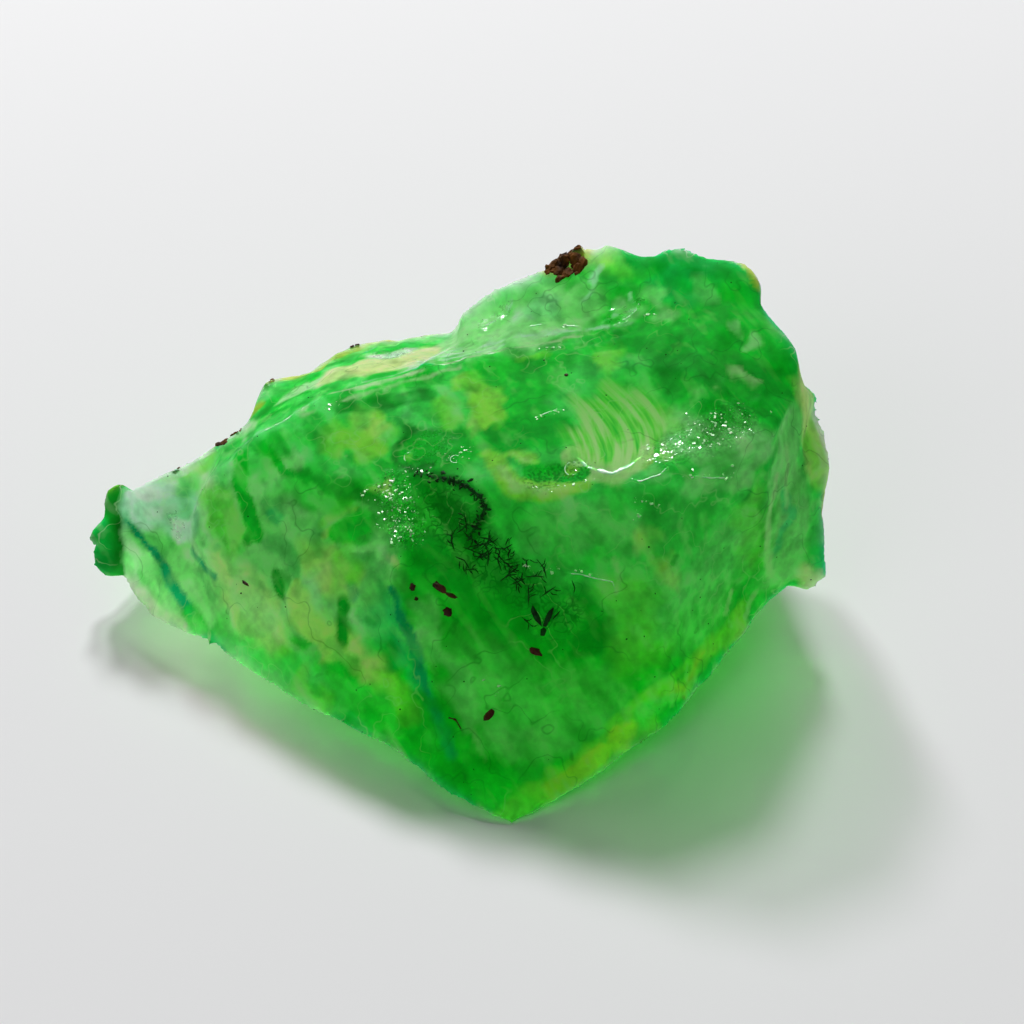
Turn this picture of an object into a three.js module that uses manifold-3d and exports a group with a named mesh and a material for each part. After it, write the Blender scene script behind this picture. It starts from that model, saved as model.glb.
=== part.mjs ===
// A raw fluorite: one broken, unpolished fragment of crystal that lies on its flattest cleavage.
// Millimetres, +Z up. It is longest along X, with its thin blunt tip at -X and its tall shoulder at +X.
// The origin is at the middle of its footprint box, on the surface that it rests on.
import * as THREE from "three";
import { mergeVertices } from "three/addons/utils/BufferGeometryUtils.js";
import { ImprovedNoise } from "three/addons/math/ImprovedNoise.js";
import Module from "manifold-3d";

// Driving dimensions.
const LENGTH = 38; // from the tip to the farthest chip of the right side
const SPLITS = 2; // times that every triangle of a facet is split into four
const WAVE = { size: 5.2, depth: 0.34 }; // the slow swell of a broken face
const CHIP = { size: 1.9, depth: 0.2 }; // the small chips and steps on top of it
const SMOOTH_BELOW = 1.4; // the skin fades to its plain facets under this height, so the base stays flat
const MERGE_TOLERANCE = 1e-3;
const SCAR_SIDES = 40; // round a scar's ellipsoid
const SCAR_RINGS = 24; // from its top to its bottom
const GLOSS_ROUGHNESS = 0.22;
const STONE_GREEN = "#24a63f";

// The corners between the facets, each [x, y, z].
const corners = {
  // blunt end of the tip, which hangs just clear of the surface
  tipCrown: [-17.6, 2.7, 6.2],
  tipNeck: [-16.2, 2.2, 6.8],
  tipNose: [-18.8, 1.5, 4],
  tipHeel: [-18.5, 1.2, 1.8],
  tipChin: [-17.2, 0.8, 2],
  tipBack: [-17.4, 4.8, 3.8],
  tipKeel: [-16.8, 4, 1.4],
  // fold between the tip's face and the long front face
  foldTop: [-11.9, 1.6, 8.3],
  foldMid: [-12.3, -1.2, 5.6],
  // front ridge, climbing from the tip to the plateau
  ridgeLow: [-9.5, 2.9, 10],
  ridgeMid: [-6.4, 4, 11.3],
  ridgeHigh: [-2.1, 4.9, 12.2],
  ridgeRoot: [2.4, 5.5, 12.8],
  // band under that ridge
  bandLow: [-10.2, 0.3, 8],
  bandMid: [-5.9, -0.7, 9.7],
  bandHigh: [-1.2, -1.8, 11],
  // rear rim, behind the ridge
  rimNeck: [-13.7, 3.3, 7.4],
  rimLow: [-11.8, 4.6, 7.9],
  rimKnee: [-10.5, 5.7, 8.6],
  rimKnob: [-9.8, 8.7, 8.6],
  rimMid: [-7.8, 9.2, 9],
  rimHigh: [-5.5, 11.2, 9.4],
  rimNotch: [-0.2, 11.1, 10],
  // shoulder and crest of the tall end
  shoulderFoot: [0.4, 10.8, 11.4],
  shoulderLow: [2.4, 11.1, 13],
  shoulderMid: [5, 11.3, 14.1],
  crestLeft: [6.3, 11.7, 15],
  crestMid: [7.9, 11.3, 15.2],
  crestNotch: [10, 10.8, 14.8],
  crestPeak: [11.3, 10.5, 15.8],
  crestRight: [14.6, 9.1, 15.6],
  shoulderRight: [17.1, 4.5, 14.2],
  shoulderBrow: [17.2, 2.7, 12.8],
  // plateau and the brow in front of it
  saddle: [7.9, 5.7, 13.5],
  plateauMid: [12.1, 1.4, 13.8],
  browLeft: [2, -2.9, 11.5],
  browMid: [6.2, -4.4, 11.9],
  browRight: [10.2, -4.2, 12.4],
  browFar: [15.1, -1.4, 12.6],
  // right side
  rightHigh: [18.4, 4.8, 10.6],
  rightKnob: [18.9, 1.7, 8.4],
  rightMid: [18.5, 0.9, 6.2],
  rightLow: [18.7, -0.8, 3.4],
  rightHeel: [18, -1.1, 2.6],
  rightNotch: [17, -0.9, 2.8],
  sideMid: [15.3, -2.1, 8.2],
  sideLow: [15, -2.7, 2.4],
  // lower edge, from the right side round the front foot to the tip
  keelRight: [12.9, -6.1, 1.8],
  keelMid: [9.9, -9.8, 1.1],
  keelLow: [6.8, -12.2, 0.6],
  foot: [2.9, -14.6, 0],
  footA: [-0.5, -12.9, 0.6],
  footB: [-4, -9.8, 1],
  footC: [-7.4, -7.5, 1.2],
  footD: [-11.6, -4.6, 1.5],
  footE: [-15.4, -1.8, 1.7],
  // fold between the long front face and the steep one, and the middles of both
  foldA: [-2.5, -4.6, 8.7],
  foldB: [-2.2, -7, 6.6],
  foldC: [-1.2, -9.4, 4.1],
  foldD: [0.3, -12.4, 1.5],
  faceMid: [-7.3, -4.6, 6.2],
  frontMid: [3.8, -7.6, 6.3],
  frontRight: [10.3, -7.1, 6.7],
  // back, at half height
  backA: [-13.8, 6.5, 3.6],
  backB: [-8.5, 10.5, 5],
  backC: [-2.5, 12.6, 5],
  backD: [4.5, 13.3, 7.5],
  backE: [11, 13.2, 8.5],
  backRight: [17.5, 10, 7.5],
  // back, just above the base
  heelA: [-11.5, 5, 1.2],
  heelB: [-5.5, 9.5, 1],
  heelC: [3.5, 11.5, 1.2],
  heelD: [11.5, 10.5, 1.4],
  heelRight: [16.5, 4.5, 1.6],
  // flat base
  baseA: [-2, -9.5, 0],
  baseLeft: [-6, -5, 0],
  baseTip: [-10, 1, 0],
  baseBackLeft: [-4, 7, 0],
  baseBackRight: [11.5, 7, 0],
  baseRight: [13.5, -0.5, 0],
  baseB: [8.5, -9, 0],
};

// The facets, each a ring of corners that turns counter-clockwise when seen from outside.
const facets = {
  tipEnd: "tipCrown tipNose tipHeel tipChin tipNeck",
  tipSide: "tipCrown tipBack tipKeel tipHeel tipNose",
  tipFace: "tipNeck tipChin footE footD foldMid foldTop rimLow rimNeck",
  rimStart: "rimLow foldTop ridgeLow rimKnee",
  rimFaceLow: "rimKnee ridgeLow ridgeMid rimMid rimKnob",
  rimFaceHigh: "rimMid ridgeMid ridgeHigh rimNotch rimHigh",
  rimFaceEnd: "rimNotch ridgeHigh ridgeRoot shoulderFoot",
  foldFace: "foldTop foldMid bandLow",
  bandStart: "foldTop bandLow ridgeLow",
  bandFaceLow: "ridgeLow bandLow bandMid ridgeMid",
  bandFaceHigh: "ridgeMid bandMid bandHigh ridgeHigh",
  bandEnd: "ridgeHigh bandHigh browLeft ridgeRoot",
  longFaceLow: "foldMid footD footC faceMid",
  longFaceFoot: "faceMid footC footB foldC foldB",
  longFaceTop: "bandLow foldMid faceMid bandMid",
  longFaceHigh: "bandMid faceMid foldB foldA bandHigh",
  longFaceToe: "foldC footB footA foldD",
  steepFaceLeft: "bandHigh foldA foldB frontMid browLeft",
  steepFaceLow: "foldB foldC foldD frontMid",
  steepFaceFoot: "foldD foot keelLow frontMid",
  steepFaceTop: "browLeft frontMid browMid",
  steepFaceMid: "browMid frontMid frontRight browRight",
  steepFaceKeel: "frontMid keelLow keelMid frontRight",
  steepFaceRight: "frontRight keelMid keelRight sideLow",
  steepFaceSide: "browRight frontRight sideLow sideMid browFar",
  toe: "foldD footA foot",
  sideHigh: "browFar sideMid rightMid rightKnob rightHigh shoulderBrow",
  sideLow: "sideMid sideLow rightNotch rightHeel rightLow rightMid",
  plateauLeft: "shoulderFoot ridgeRoot saddle shoulderMid shoulderLow",
  plateauCrest: "shoulderMid saddle crestNotch crestMid crestLeft",
  plateauPeak: "crestNotch saddle plateauMid crestRight crestPeak",
  plateauRight: "crestRight plateauMid browFar shoulderBrow shoulderRight",
  ledgeLeft: "ridgeRoot browLeft browMid saddle",
  ledgeMid: "saddle browMid browRight plateauMid",
  ledgeRight: "plateauMid browRight browFar",
  underTip: "tipHeel tipKeel baseTip footE tipChin",
  underFootE: "footE baseTip footD",
  underFootD: "footD baseTip baseLeft footC",
  underFootC: "footC baseLeft baseA footB",
  underFootB: "footB baseA foot footA",
  underKeelLow: "foot baseB keelLow",
  underKeelMid: "keelLow baseB baseRight keelMid",
  underKeelRight: "keelMid baseRight keelRight",
  underSide: "keelRight baseRight rightNotch sideLow",
  underHeel: "rightNotch baseRight heelRight rightHeel",
  base: "foot baseA baseLeft baseTip baseBackLeft baseBackRight baseRight baseB",
  flankLow: "rightKnob rightMid rightLow rightHeel heelRight backRight",
  flankHigh: "crestRight shoulderRight shoulderBrow rightHigh rightKnob backRight",
  backTip: "tipCrown tipNeck rimNeck backA tipBack",
  backRim: "rimNeck rimLow rimKnee rimKnob backB backA",
  backKnob: "rimKnob rimMid rimHigh backC backB",
  backNotch: "rimHigh rimNotch shoulderFoot backD backC",
  backShoulder: "shoulderFoot shoulderLow shoulderMid crestLeft backD",
  backCrest: "crestLeft crestMid crestNotch crestPeak backE backD",
  backCorner: "crestPeak crestRight backRight backE",
  lowTip: "tipBack backA heelA tipKeel",
  lowRim: "backA backB heelB heelA",
  lowKnob: "backB backC heelC heelB",
  lowNotch: "backC backD heelC",
  lowCrest: "backD backE heelD heelC",
  lowCorner: "backE backRight heelRight heelD",
  rollTip: "tipKeel heelA baseTip",
  rollRim: "heelA heelB baseBackLeft baseTip",
  rollKnob: "heelB heelC baseBackLeft",
  rollCrest: "heelC heelD baseBackRight baseBackLeft",
  rollCorner: "heelD heelRight baseRight baseBackRight",
};

// Conchoidal scars: shell-shaped hollows left by flakes, each an ellipsoid that bites into a face.
const scars = [
  { name: "ledge scoop", centre: [8.2, -0.2, 14.7], radii: [4.6, 5.4, 2.5], tilt: [0.1, -0.12, 0.3] },
  { name: "rim flake", centre: [-7, 16.8, 3.5], radii: [6.5, 7.6, 5], tilt: [0, 0, 0.3] },
  { name: "crest flake", centre: [5.5, 22, 17.5], radii: [9.5, 11, 8], tilt: [0, 0, -0.15] },
  { name: "flank flake", centre: [24.5, 12.5, 8.5], radii: [8.5, 8.5, 8.5], tilt: [0, 0.2, 0] },
  { name: "heel flake", centre: [17.5, 12.5, 2.5], radii: [5.6, 5.6, 4.6], tilt: [0, 0.1, -0.2] },
];

// The flat facets as triangles: each facet is fanned from its own middle.
function facetTriangles() {
  const triangles = [];
  for (const ring of Object.values(facets)) {
    const points = ring.split(" ").map((name) => new THREE.Vector3(...corners[name]));
    const middle = points.reduce((sum, p) => sum.add(p), new THREE.Vector3());
    middle.divideScalar(points.length);
    points.forEach((p, i) => triangles.push([middle, p, points[(i + 1) % points.length]]));
  }
  return triangles;
}

// Every triangle is split into four at the middles of its edges.
function split(triangles) {
  return triangles.flatMap(([a, b, c]) => {
    const [ab, bc, ca] = [[a, b], [b, c], [c, a]].map(([p, q]) => p.clone().lerp(q, 0.5));
    return [[a, ab, ca], [ab, b, bc], [ca, bc, c], [ab, bc, ca]];
  });
}

function closedGeometry(triangles) {
  const soup = new THREE.BufferGeometry().setFromPoints(triangles.flat());
  return mergeVertices(soup, MERGE_TOLERANCE);
}

// The broken skin: each point of a face moves along its normal, in slow swells and small chips.
function roughen(geometry) {
  const noise = new ImprovedNoise();
  const swell = (p, { size, depth }) => depth * noise.noise(p.x / size, p.y / size, p.z / size);
  geometry.computeVertexNormals();
  const { position, normal } = geometry.attributes;
  const point = new THREE.Vector3();
  const outward = new THREE.Vector3();
  for (let i = 0; i < position.count; i++) {
    point.fromBufferAttribute(position, i);
    outward.fromBufferAttribute(normal, i);
    const fade = THREE.MathUtils.smoothstep(point.z, 0, SMOOTH_BELOW);
    point.addScaledVector(outward, fade * (swell(point, WAVE) + swell(point, CHIP)));
    position.setXYZ(i, ...point);
  }
  geometry.deleteAttribute("normal");
  return geometry;
}

const wasm = await Module();
wasm.setup();

function toSolid(geometry) {
  const merged = mergeVertices(geometry, MERGE_TOLERANCE);
  const mesh = new wasm.Mesh({
    numProp: 3,
    vertProperties: merged.attributes.position.array,
    triVerts: new Uint32Array(merged.index.array),
  });
  return new wasm.Manifold(mesh);
}

function toGeometry(solid) {
  const { vertProperties, triVerts } = solid.getMesh();
  const geometry = new THREE.BufferGeometry();
  geometry.setAttribute("position", new THREE.BufferAttribute(vertProperties, 3));
  geometry.setIndex(new THREE.BufferAttribute(triVerts, 1));
  return geometry;
}

function scarSolid({ centre, radii, tilt }) {
  const ball = new THREE.SphereGeometry(1, SCAR_SIDES, SCAR_RINGS);
  ball.deleteAttribute("normal");
  ball.deleteAttribute("uv");
  const pose = new THREE.Matrix4().compose(
    new THREE.Vector3(...centre),
    new THREE.Quaternion().setFromEuler(new THREE.Euler(...tilt)),
    new THREE.Vector3(...radii),
  );
  return toSolid(ball.applyMatrix4(pose));
}

// The stone is scaled to its length and stood on the middle of its footprint box.
function place(geometry) {
  geometry.computeBoundingBox();
  const { min, max } = geometry.boundingBox;
  const scale = LENGTH / (max.x - min.x);
  geometry.translate(-(min.x + max.x) / 2, -(min.y + max.y) / 2, -min.z);
  return geometry.scale(scale, scale, scale);
}

function fluoriteGeometry() {
  let triangles = facetTriangles();
  for (let i = 0; i < SPLITS; i++) triangles = split(triangles);
  let stone = toSolid(roughen(closedGeometry(triangles)));
  for (const scar of scars) stone = stone.subtract(scarSolid(scar));
  return place(toGeometry(stone));
}

const fluoriteMaterial = new THREE.MeshStandardMaterial({
  color: STONE_GREEN,
  roughness: GLOSS_ROUGHNESS,
  metalness: 0,
});

const fluorite = new THREE.Mesh(fluoriteGeometry(), fluoriteMaterial);
fluorite.name = "fluorite";

const stone = new THREE.Group();
stone.add(fluorite);

export default stone;
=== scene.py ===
"""Raw fluorite on white paper: the looks of the stone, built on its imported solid."""

import math

import bpy
import bmesh
import numpy as np
from mathutils import Matrix, Vector, noise
from mathutils.bvhtree import BVHTree


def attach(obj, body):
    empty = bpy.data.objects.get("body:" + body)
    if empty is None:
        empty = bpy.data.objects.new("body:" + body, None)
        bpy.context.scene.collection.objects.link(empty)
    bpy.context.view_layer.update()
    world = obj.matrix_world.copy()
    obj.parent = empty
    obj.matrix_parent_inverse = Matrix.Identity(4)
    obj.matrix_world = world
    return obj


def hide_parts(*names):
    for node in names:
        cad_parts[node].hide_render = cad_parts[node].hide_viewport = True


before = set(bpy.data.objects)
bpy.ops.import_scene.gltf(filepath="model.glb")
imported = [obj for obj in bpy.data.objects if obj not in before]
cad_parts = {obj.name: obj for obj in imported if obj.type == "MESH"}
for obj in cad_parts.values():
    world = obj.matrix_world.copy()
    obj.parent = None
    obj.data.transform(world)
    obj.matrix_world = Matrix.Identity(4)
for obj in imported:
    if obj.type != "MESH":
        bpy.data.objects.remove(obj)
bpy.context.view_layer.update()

MM = 0.001
NOISE_SEED = 387
noise.seed_set(NOISE_SEED)

# ---------------------------------------------------------------- camera, light and floor

VIEW_ELEVATION = math.radians(40)
VIEW_DISTANCE = 126.3 * MM
VIEW_TARGET = Vector((2.9, 4.3, 4)) * MM
LENS_MM = 85
NEAREST_SEEN = 1 * MM
FLOOR_SIDE = 2.4
FLOOR_GAP = 0.02 * MM
PAPER = (0.8, 0.8, 0.805, 1)
SKY, SKY_STRENGTH = (0.96, 0.98, 1, 1), 0.1

# name, direction that the light travels, distance and width in mm, and power in watts
LIGHTS = [
    ("window", (0, -1.1, -1), 1500, 230, 14.3),
    ("lamp", (0.42, -1.3, -1), 500, 66, 1.5),
    ("fill", (0.7, 0.75, -0.6), 600, 420, 0.4),
]


def linked(name, data):
    """A new object of the data, in the scene."""
    made = bpy.data.objects.new(name, data)
    bpy.context.scene.collection.objects.link(made)
    return made


def add_camera():
    data = bpy.data.cameras.new("camera")
    data.lens = LENS_MM
    data.clip_start = NEAREST_SEEN
    camera = linked("camera", data)
    back = Vector((0, -math.cos(VIEW_ELEVATION), math.sin(VIEW_ELEVATION)))
    camera.location = VIEW_TARGET + VIEW_DISTANCE * back
    camera.rotation_euler = (math.pi / 2 - VIEW_ELEVATION, 0, 0)
    bpy.context.scene.camera = camera


def add_light(name, travel, distance, width, power):
    """A round soft light that shines along travel onto the stone."""
    data = bpy.data.lights.new(name, "AREA")
    data.shape = "DISK"
    data.size = width * MM
    data.energy = power
    lamp = linked(name, data)
    along = Vector(travel).normalized()
    lamp.location = VIEW_TARGET - along * distance * MM
    lamp.rotation_euler = along.to_track_quat("-Z", "Y").to_euler()


def add_floor():
    bpy.ops.mesh.primitive_plane_add(size=FLOOR_SIDE, location=(0, 0, -FLOOR_GAP))
    floor = bpy.context.object
    floor.name = "paper_floor"
    paper = Nodes("paper")
    paper.set(Base_Color=PAPER, Roughness=0.9, Specular_IOR_Level=0.1)
    floor.data.materials.append(paper.material)


def add_world():
    world = bpy.data.worlds.new("studio")
    world.use_nodes = True
    world.node_tree.nodes["Background"].inputs["Color"].default_value = SKY
    world.node_tree.nodes["Background"].inputs["Strength"].default_value = SKY_STRENGTH
    bpy.context.scene.world = world
    bpy.context.scene.view_settings.view_transform = "Standard"


# ---------------------------------------------------------------- fields over the surface, in mm

SEED_SHIFT = np.array((17.3, 5.1, 9.7))


def shifted(points, size, seed):
    return (points / size + SEED_SHIFT * seed).tolist()


def soft_noise(points, size, seed):
    """A soft random value at each point, about -1 to 1, in blotches about size mm wide."""
    return np.array([noise.noise(p) for p in shifted(points, size, seed)])


def warped(points, size, amount, seed):
    """The points pushed about by up to amount mm, in swirls about size mm wide."""
    return points + amount * np.array([noise.noise_vector(p) for p in shifted(points, size, seed)])


def cells(points, size, seed):
    """Random cells about size mm wide: each point's depth inside its cell, and the cell's value, 0 to 1."""
    found = [noise.voronoi(p) for p in shifted(points, size, seed)]
    inside = np.array([distances[1] - distances[0] for distances, _ in found])
    value = np.array([noise.cell(centres[0]) for _, centres in found])
    return inside, value * 0.5 + 0.5


def eased(value, start, end):
    """0 up to start, 1 from end on and a smooth change between; end may be the lower one."""
    t = np.clip((value - start) / (end - start), 0, 1)
    return t * t * (3 - 2 * t)


def distance_to(points, path):
    """How far each point is from a path of one or more corners, in mm."""
    corners = [np.array(corner, float) for corner in path]
    if len(corners) == 1:
        return np.linalg.norm(points - corners[0], axis=1)
    nearest = np.full(len(points), np.inf)
    for start, end in zip(corners, corners[1:]):
        along = end - start
        share = np.clip((points - start) @ along / (along @ along), 0, 1)
        nearest = np.minimum(nearest, np.linalg.norm(points - start - share[:, None] * along, axis=1))
    return nearest


def around(points, path, reach, fade):
    """1 within reach mm of the path, fading to 0 over the next fade mm."""
    return 1 - eased(distance_to(points, path), reach, reach + fade)


def dome(points, centre, radii):
    """1 at the centre, falling like a dome to 0 at the edge of an ellipsoid."""
    offset = (points - np.array(centre)) / np.array(radii)
    return np.clip(1 - (offset * offset).sum(axis=1), 0, 1)


def bead(points, centre, radius, width):
    """1 at radius mm from the centre, falling off on both sides over about width mm."""
    return np.exp(-((distance_to(points, [centre]) - radius) / width) ** 2)


def terraces(height, step):
    """A smooth slope's height cut into steps, as the change in height."""
    count = height / step
    part = count - np.floor(count)
    return (eased(part, 0.7, 1) - part) * step


GRAIN = np.array((0.56, -0.71, -0.43))


def streaked(points):
    """The points squeezed along the crystal's grain, so that a field over them makes long streaks."""
    return points - 0.62 * (points @ GRAIN)[:, None] * GRAIN


# ---------------------------------------------------------------- the stone's surface

VOXEL = 0.17 * MM


def remeshed_copy(source):
    """A new object with the CAD node's shape as an even fine mesh."""
    stone = linked("fluorite_crystal", source.data.copy())
    remesh = stone.modifiers.new("remesh", "REMESH")
    remesh.mode = "VOXEL"
    remesh.voxel_size = VOXEL
    bpy.context.view_layer.objects.active = stone
    bpy.ops.object.modifier_apply(modifier="remesh")
    return stone


def read_vectors(mesh, what):
    """The places ("co") or outward directions ("normal") of the mesh's corners, one row each."""
    flat = np.empty(len(mesh.vertices) * 3, np.float32)
    mesh.vertices.foreach_get(what, flat)
    return flat.reshape(-1, 3).astype(float)


def read_skin(mesh):
    """The mesh's points in mm and their normals."""
    return read_vectors(mesh, "co") / MM, read_vectors(mesh, "normal")


def write_points(mesh, points):
    mesh.vertices.foreach_set("co", (points * MM).astype(np.float32).ravel())
    mesh.update()


def relaxed(mesh, points, share, rounds):
    """The points drawn towards their neighbours, each by its own share, so that hard edges soften."""
    flat = np.empty(len(mesh.edges) * 2, np.int32)
    mesh.edges.foreach_get("vertices", flat)
    one, other = flat.reshape(-1, 2).T
    count = np.bincount(flat, minlength=len(points))[:, None]
    for _ in range(rounds):
        total = np.zeros_like(points)
        for axis in range(3):
            total[:, axis] += np.bincount(one, points[other, axis], len(points))
            total[:, axis] += np.bincount(other, points[one, axis], len(points))
        points = points + share[:, None] * (total / count - points)
    return points


# places and paths on the stone, in mm
SCOOP = (7.9, 0.2, 12.4)
EYE_PIT = (-1, 0.5, 11.5)
GRAIN_PIT = (5.1, -2.3, 11.9)
EYE_BUBBLE = (-2.2, 0.1, 11.1)
GRAIN_BUBBLE = (5.8, -2.1, 12)
RIM = [(6, -1.4, 12.3), (6.5, -2.2, 12.3), (7.7, -2.8, 12.4), (8.6, -2.2, 12.4), (9.2, -1.5, 12.4)]
WET_LEDGE = [(10.3, -1.6, 12.4), (12.2, -0.7, 12.9), (13.8, 0.3, 13.1)]
LOOP = (14.1, 2.1, 13.6)
DARK_ARC = [(-1.6, -1, 10.9), (-0.6, -1.4, 11), (0.1, -1.7, 11), (0.8, -2.1, 10.9), (1.4, -2.7, 10.8),
            (1.6, -3.1, 10.4), (1.4, -3.4, 10), (0.8, -4, 9.3)]
HEART = [(-0.6, -2.4, 10), (0.6, -3.8, 9.3), (1.8, -4.9, 8.6), (4, -6.2, 7.4), (5.2, -6.8, 6.6)]
SPARKLES = [(-3, -1.2, 10.2), (-2.2, -3.4, 9.2)]
TIP_END = [(-18.8, 3.4, 6.2), (-18.8, 2.2, 3)]
CREST = [(9.5, 12.2, 15.4), (11.4, 11.2, 15.8), (14.6, 9.6, 15.6), (17.1, 5, 14.2), (17.8, 4, 12.8)]
CLEFT = [(-10.8, 2.7, 9.1), (-10.7, 1.6, 8.4), (-10.3, 0.2, 7.6), (-9.9, -0.9, 6.9)]
NOTCH = [(-8.8, -2.9, 6), (-8.5, -3.6, 5.4)]
TIP_FLASH = [(-14.4, 1.9, 5.7), (-14.1, 1.4, 5.1)]
BACK_FLASH = [(-4.2, 9.4, 10.5), (-3.3, 8.8, 10.8), (-2.5, 9.6, 10.5)]
RIDGE = [(-1.5, 7, 11.8), (7.5, 6.9, 13.3)]

# relief tables: height or depth in mm, centre and radii
TIP_LOBES = [
    (0.8, (-18, 3.5, 6.2), (1.4, 1.5, 1.3)),
    (0.6, (-18.9, 2.2, 3.4), (1.3, 1.6, 1.7)),
    (0.55, (-18.5, 2, 2.3), (1.2, 1.4, 1.2)),
]
PITS = [(0.16, EYE_PIT, (2, 1.9, 1.6)), (0.2, GRAIN_PIT, (2, 1.1, 1.4))]
BUBBLES = [(0.1, EYE_BUBBLE, (0.32, 0.4, 0.5)), (0.14, GRAIN_BUBBLE, (0.42, 0.52, 0.6))]
# centre and radius in mm of the curved ripples on the plateau
RIPPLES = [((1, 11.2, 12.1), 1.5), ((8.1, 8.9, 14), 0.8), ((5.2, 8.4, 13.5), 1.1)]

FACET_SIZE, FACET_HEIGHT, BOWL_DEPTH = 2.6, 0.26, 0.26
HIDDEN_STEP, RIDGE_STEP = 1.1, 0.55
RIPPLE_HEIGHT, LOOP_HEIGHT, HACKLE_HEIGHT = 0.08, 0.1, 0.05


def fan_place(points):
    """The place of each point across and, squeezed, along the curved strokes of the scoop's fan, in mm."""
    x, y = points[:, 0], points[:, 1]
    across = (x - 8) / (1 + 0.06 * (y + 2)) + 0.08 * (y + 1) ** 2
    return np.stack((across, 0.1 * y, np.zeros(len(points))), axis=1)


def hidden_share(normals, start=0.1):
    """1 where the skin faces back or down, out of the wet front's sight, and 0 on the front."""
    backward, downward = normals[:, 1], -normals[:, 2]
    return np.clip(eased(backward, start, start + 0.5) + eased(downward, start, start + 0.4), 0, 1)


def scallops(points):
    """The broken facets of the hidden sides: each point's depth inside its facet, and the facet's value."""
    return cells(warped(points, 3, 1, 5), FACET_SIZE, 6)


def hidden_relief(points, swirled, normals):
    """Scalloped, hollowed and stepped faces at the back and right, out of the wet front's sight."""
    hidden = hidden_share(normals)
    inside, value = scallops(points)
    off_ends = eased(np.abs(points[:, 0]), 18.6, 15.5)
    relief = hidden * (0.04 + FACET_HEIGHT * off_ends) * eased(inside, 0, 0.5) * (value - 0.6) - 0.06 * hidden
    bowls = off_ends * eased(hidden_share(normals, 0.45), 0.2, 1)
    relief += bowls * (0.3 * (value - 0.5) - BOWL_DEPTH * np.clip(inside / 0.45, 0, 1))
    slope = swirled @ np.array((0.3, 0.2, 0.93)) + 0.6 * soft_noise(points, 3, 7)
    stepped = hidden * eased(soft_noise(points, 5, 14), -0.1, 0.3) * eased(np.abs(points[:, 0]), 16, 14)
    return relief + stepped * 0.3 * terraces(slope, HIDDEN_STEP)


def plateau_relief(points, swirled, normals):
    """Cleavage steps along the ridge and over the plateau, and curved ripples between them."""
    plateau = around(points, RIDGE, 1, 1.2) * eased(normals[:, 2], 0.3, 0.7)
    relief = -plateau * 0.25 * terraces(swirled[:, 1] - 0.02 * points[:, 0], RIDGE_STEP)
    for centre, radius in RIPPLES:
        right_half = eased(swirled[:, 0], centre[0] - 1, centre[0])
        relief += RIPPLE_HEIGHT * bead(swirled, centre, radius, 0.16) * right_half
    return relief


def wet_relief(points):
    """Lumps on the wet ledge, its loop and the sparkling broken patch."""
    lumps = 0.16 * soft_noise(warped(points, 1.2, 0.5, 9), 0.8, 10) + 0.06 * soft_noise(points, 0.4, 11)
    relief = around(points, WET_LEDGE, 1, 0.9) * lumps
    broken = eased(soft_noise(points, 0.9, 15), -0.2, 0.2)
    relief += LOOP_HEIGHT * bead(warped(points, 1.2, 0.3, 12), LOOP, 0.95, 0.22) * broken
    return relief + around(points, SPARKLES, 0.7, 0.7) * 0.16 * (cells(points, 0.6, 13)[1] - 0.5)


def stone_relief(points, normals):
    """How far each point of the surface stands out, in mm."""
    swirled = warped(points, 2.4, 0.8, 3)
    relief = 0.04 * soft_noise(swirled, 1.8, 1) + 0.01 * soft_noise(points, 0.6, 2)
    relief += hidden_relief(points, swirled, normals) + plateau_relief(points, swirled, normals)
    relief += (0.5 + 0.2 * soft_noise(points, 1.2, 38)) * around(points, CREST[:3], 0.8, 1.6)
    relief += dome(points, SCOOP, (2.9, 3.4, 3)) * HACKLE_HEIGHT * soft_noise(fan_place(points), 0.5, 33)
    for height, centre, radii in TIP_LOBES:
        relief += height * dome(points, centre, radii)
    for depth, centre, radii in PITS:
        relief -= depth * dome(swirled, centre, radii)
    for height, centre, radii in BUBBLES:
        relief += height * np.sqrt(dome(points, centre, radii))
    above_the_foot = eased(points[:, 2], 0.1, 0.9)
    return (relief + wet_relief(points)) * above_the_foot


def stone_mesh():
    """The stone's own mesh: the CAD solid, softened at the scoop, crest and tip, with the relief on it."""
    stone = remeshed_copy(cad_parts["fluorite"])
    mesh = stone.data
    points, normals = read_skin(mesh)
    soft = np.minimum(1.6 * dome(points, SCOOP, (4.4, 4.4, 4)), 0.6)
    soft = np.maximum(soft, 0.6 * around(points, CREST, 0.8, 1.2))
    soft = np.maximum(soft, 0.5 * around(points, TIP_END, 0.9, 0.9))
    points = relaxed(mesh, points, soft, 30)
    points = points + normals * stone_relief(points, normals)[:, None]
    points = relaxed(mesh, points, np.full(len(points), 0.3), 1)
    points = relaxed(mesh, points, 0.5 * around(points, TIP_END, 1.3, 0.8), 8)
    write_points(mesh, points)
    mesh.polygons.foreach_set("use_smooth", [True] * len(mesh.polygons))
    return stone


# ---------------------------------------------------------------- the stone's colours

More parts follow.
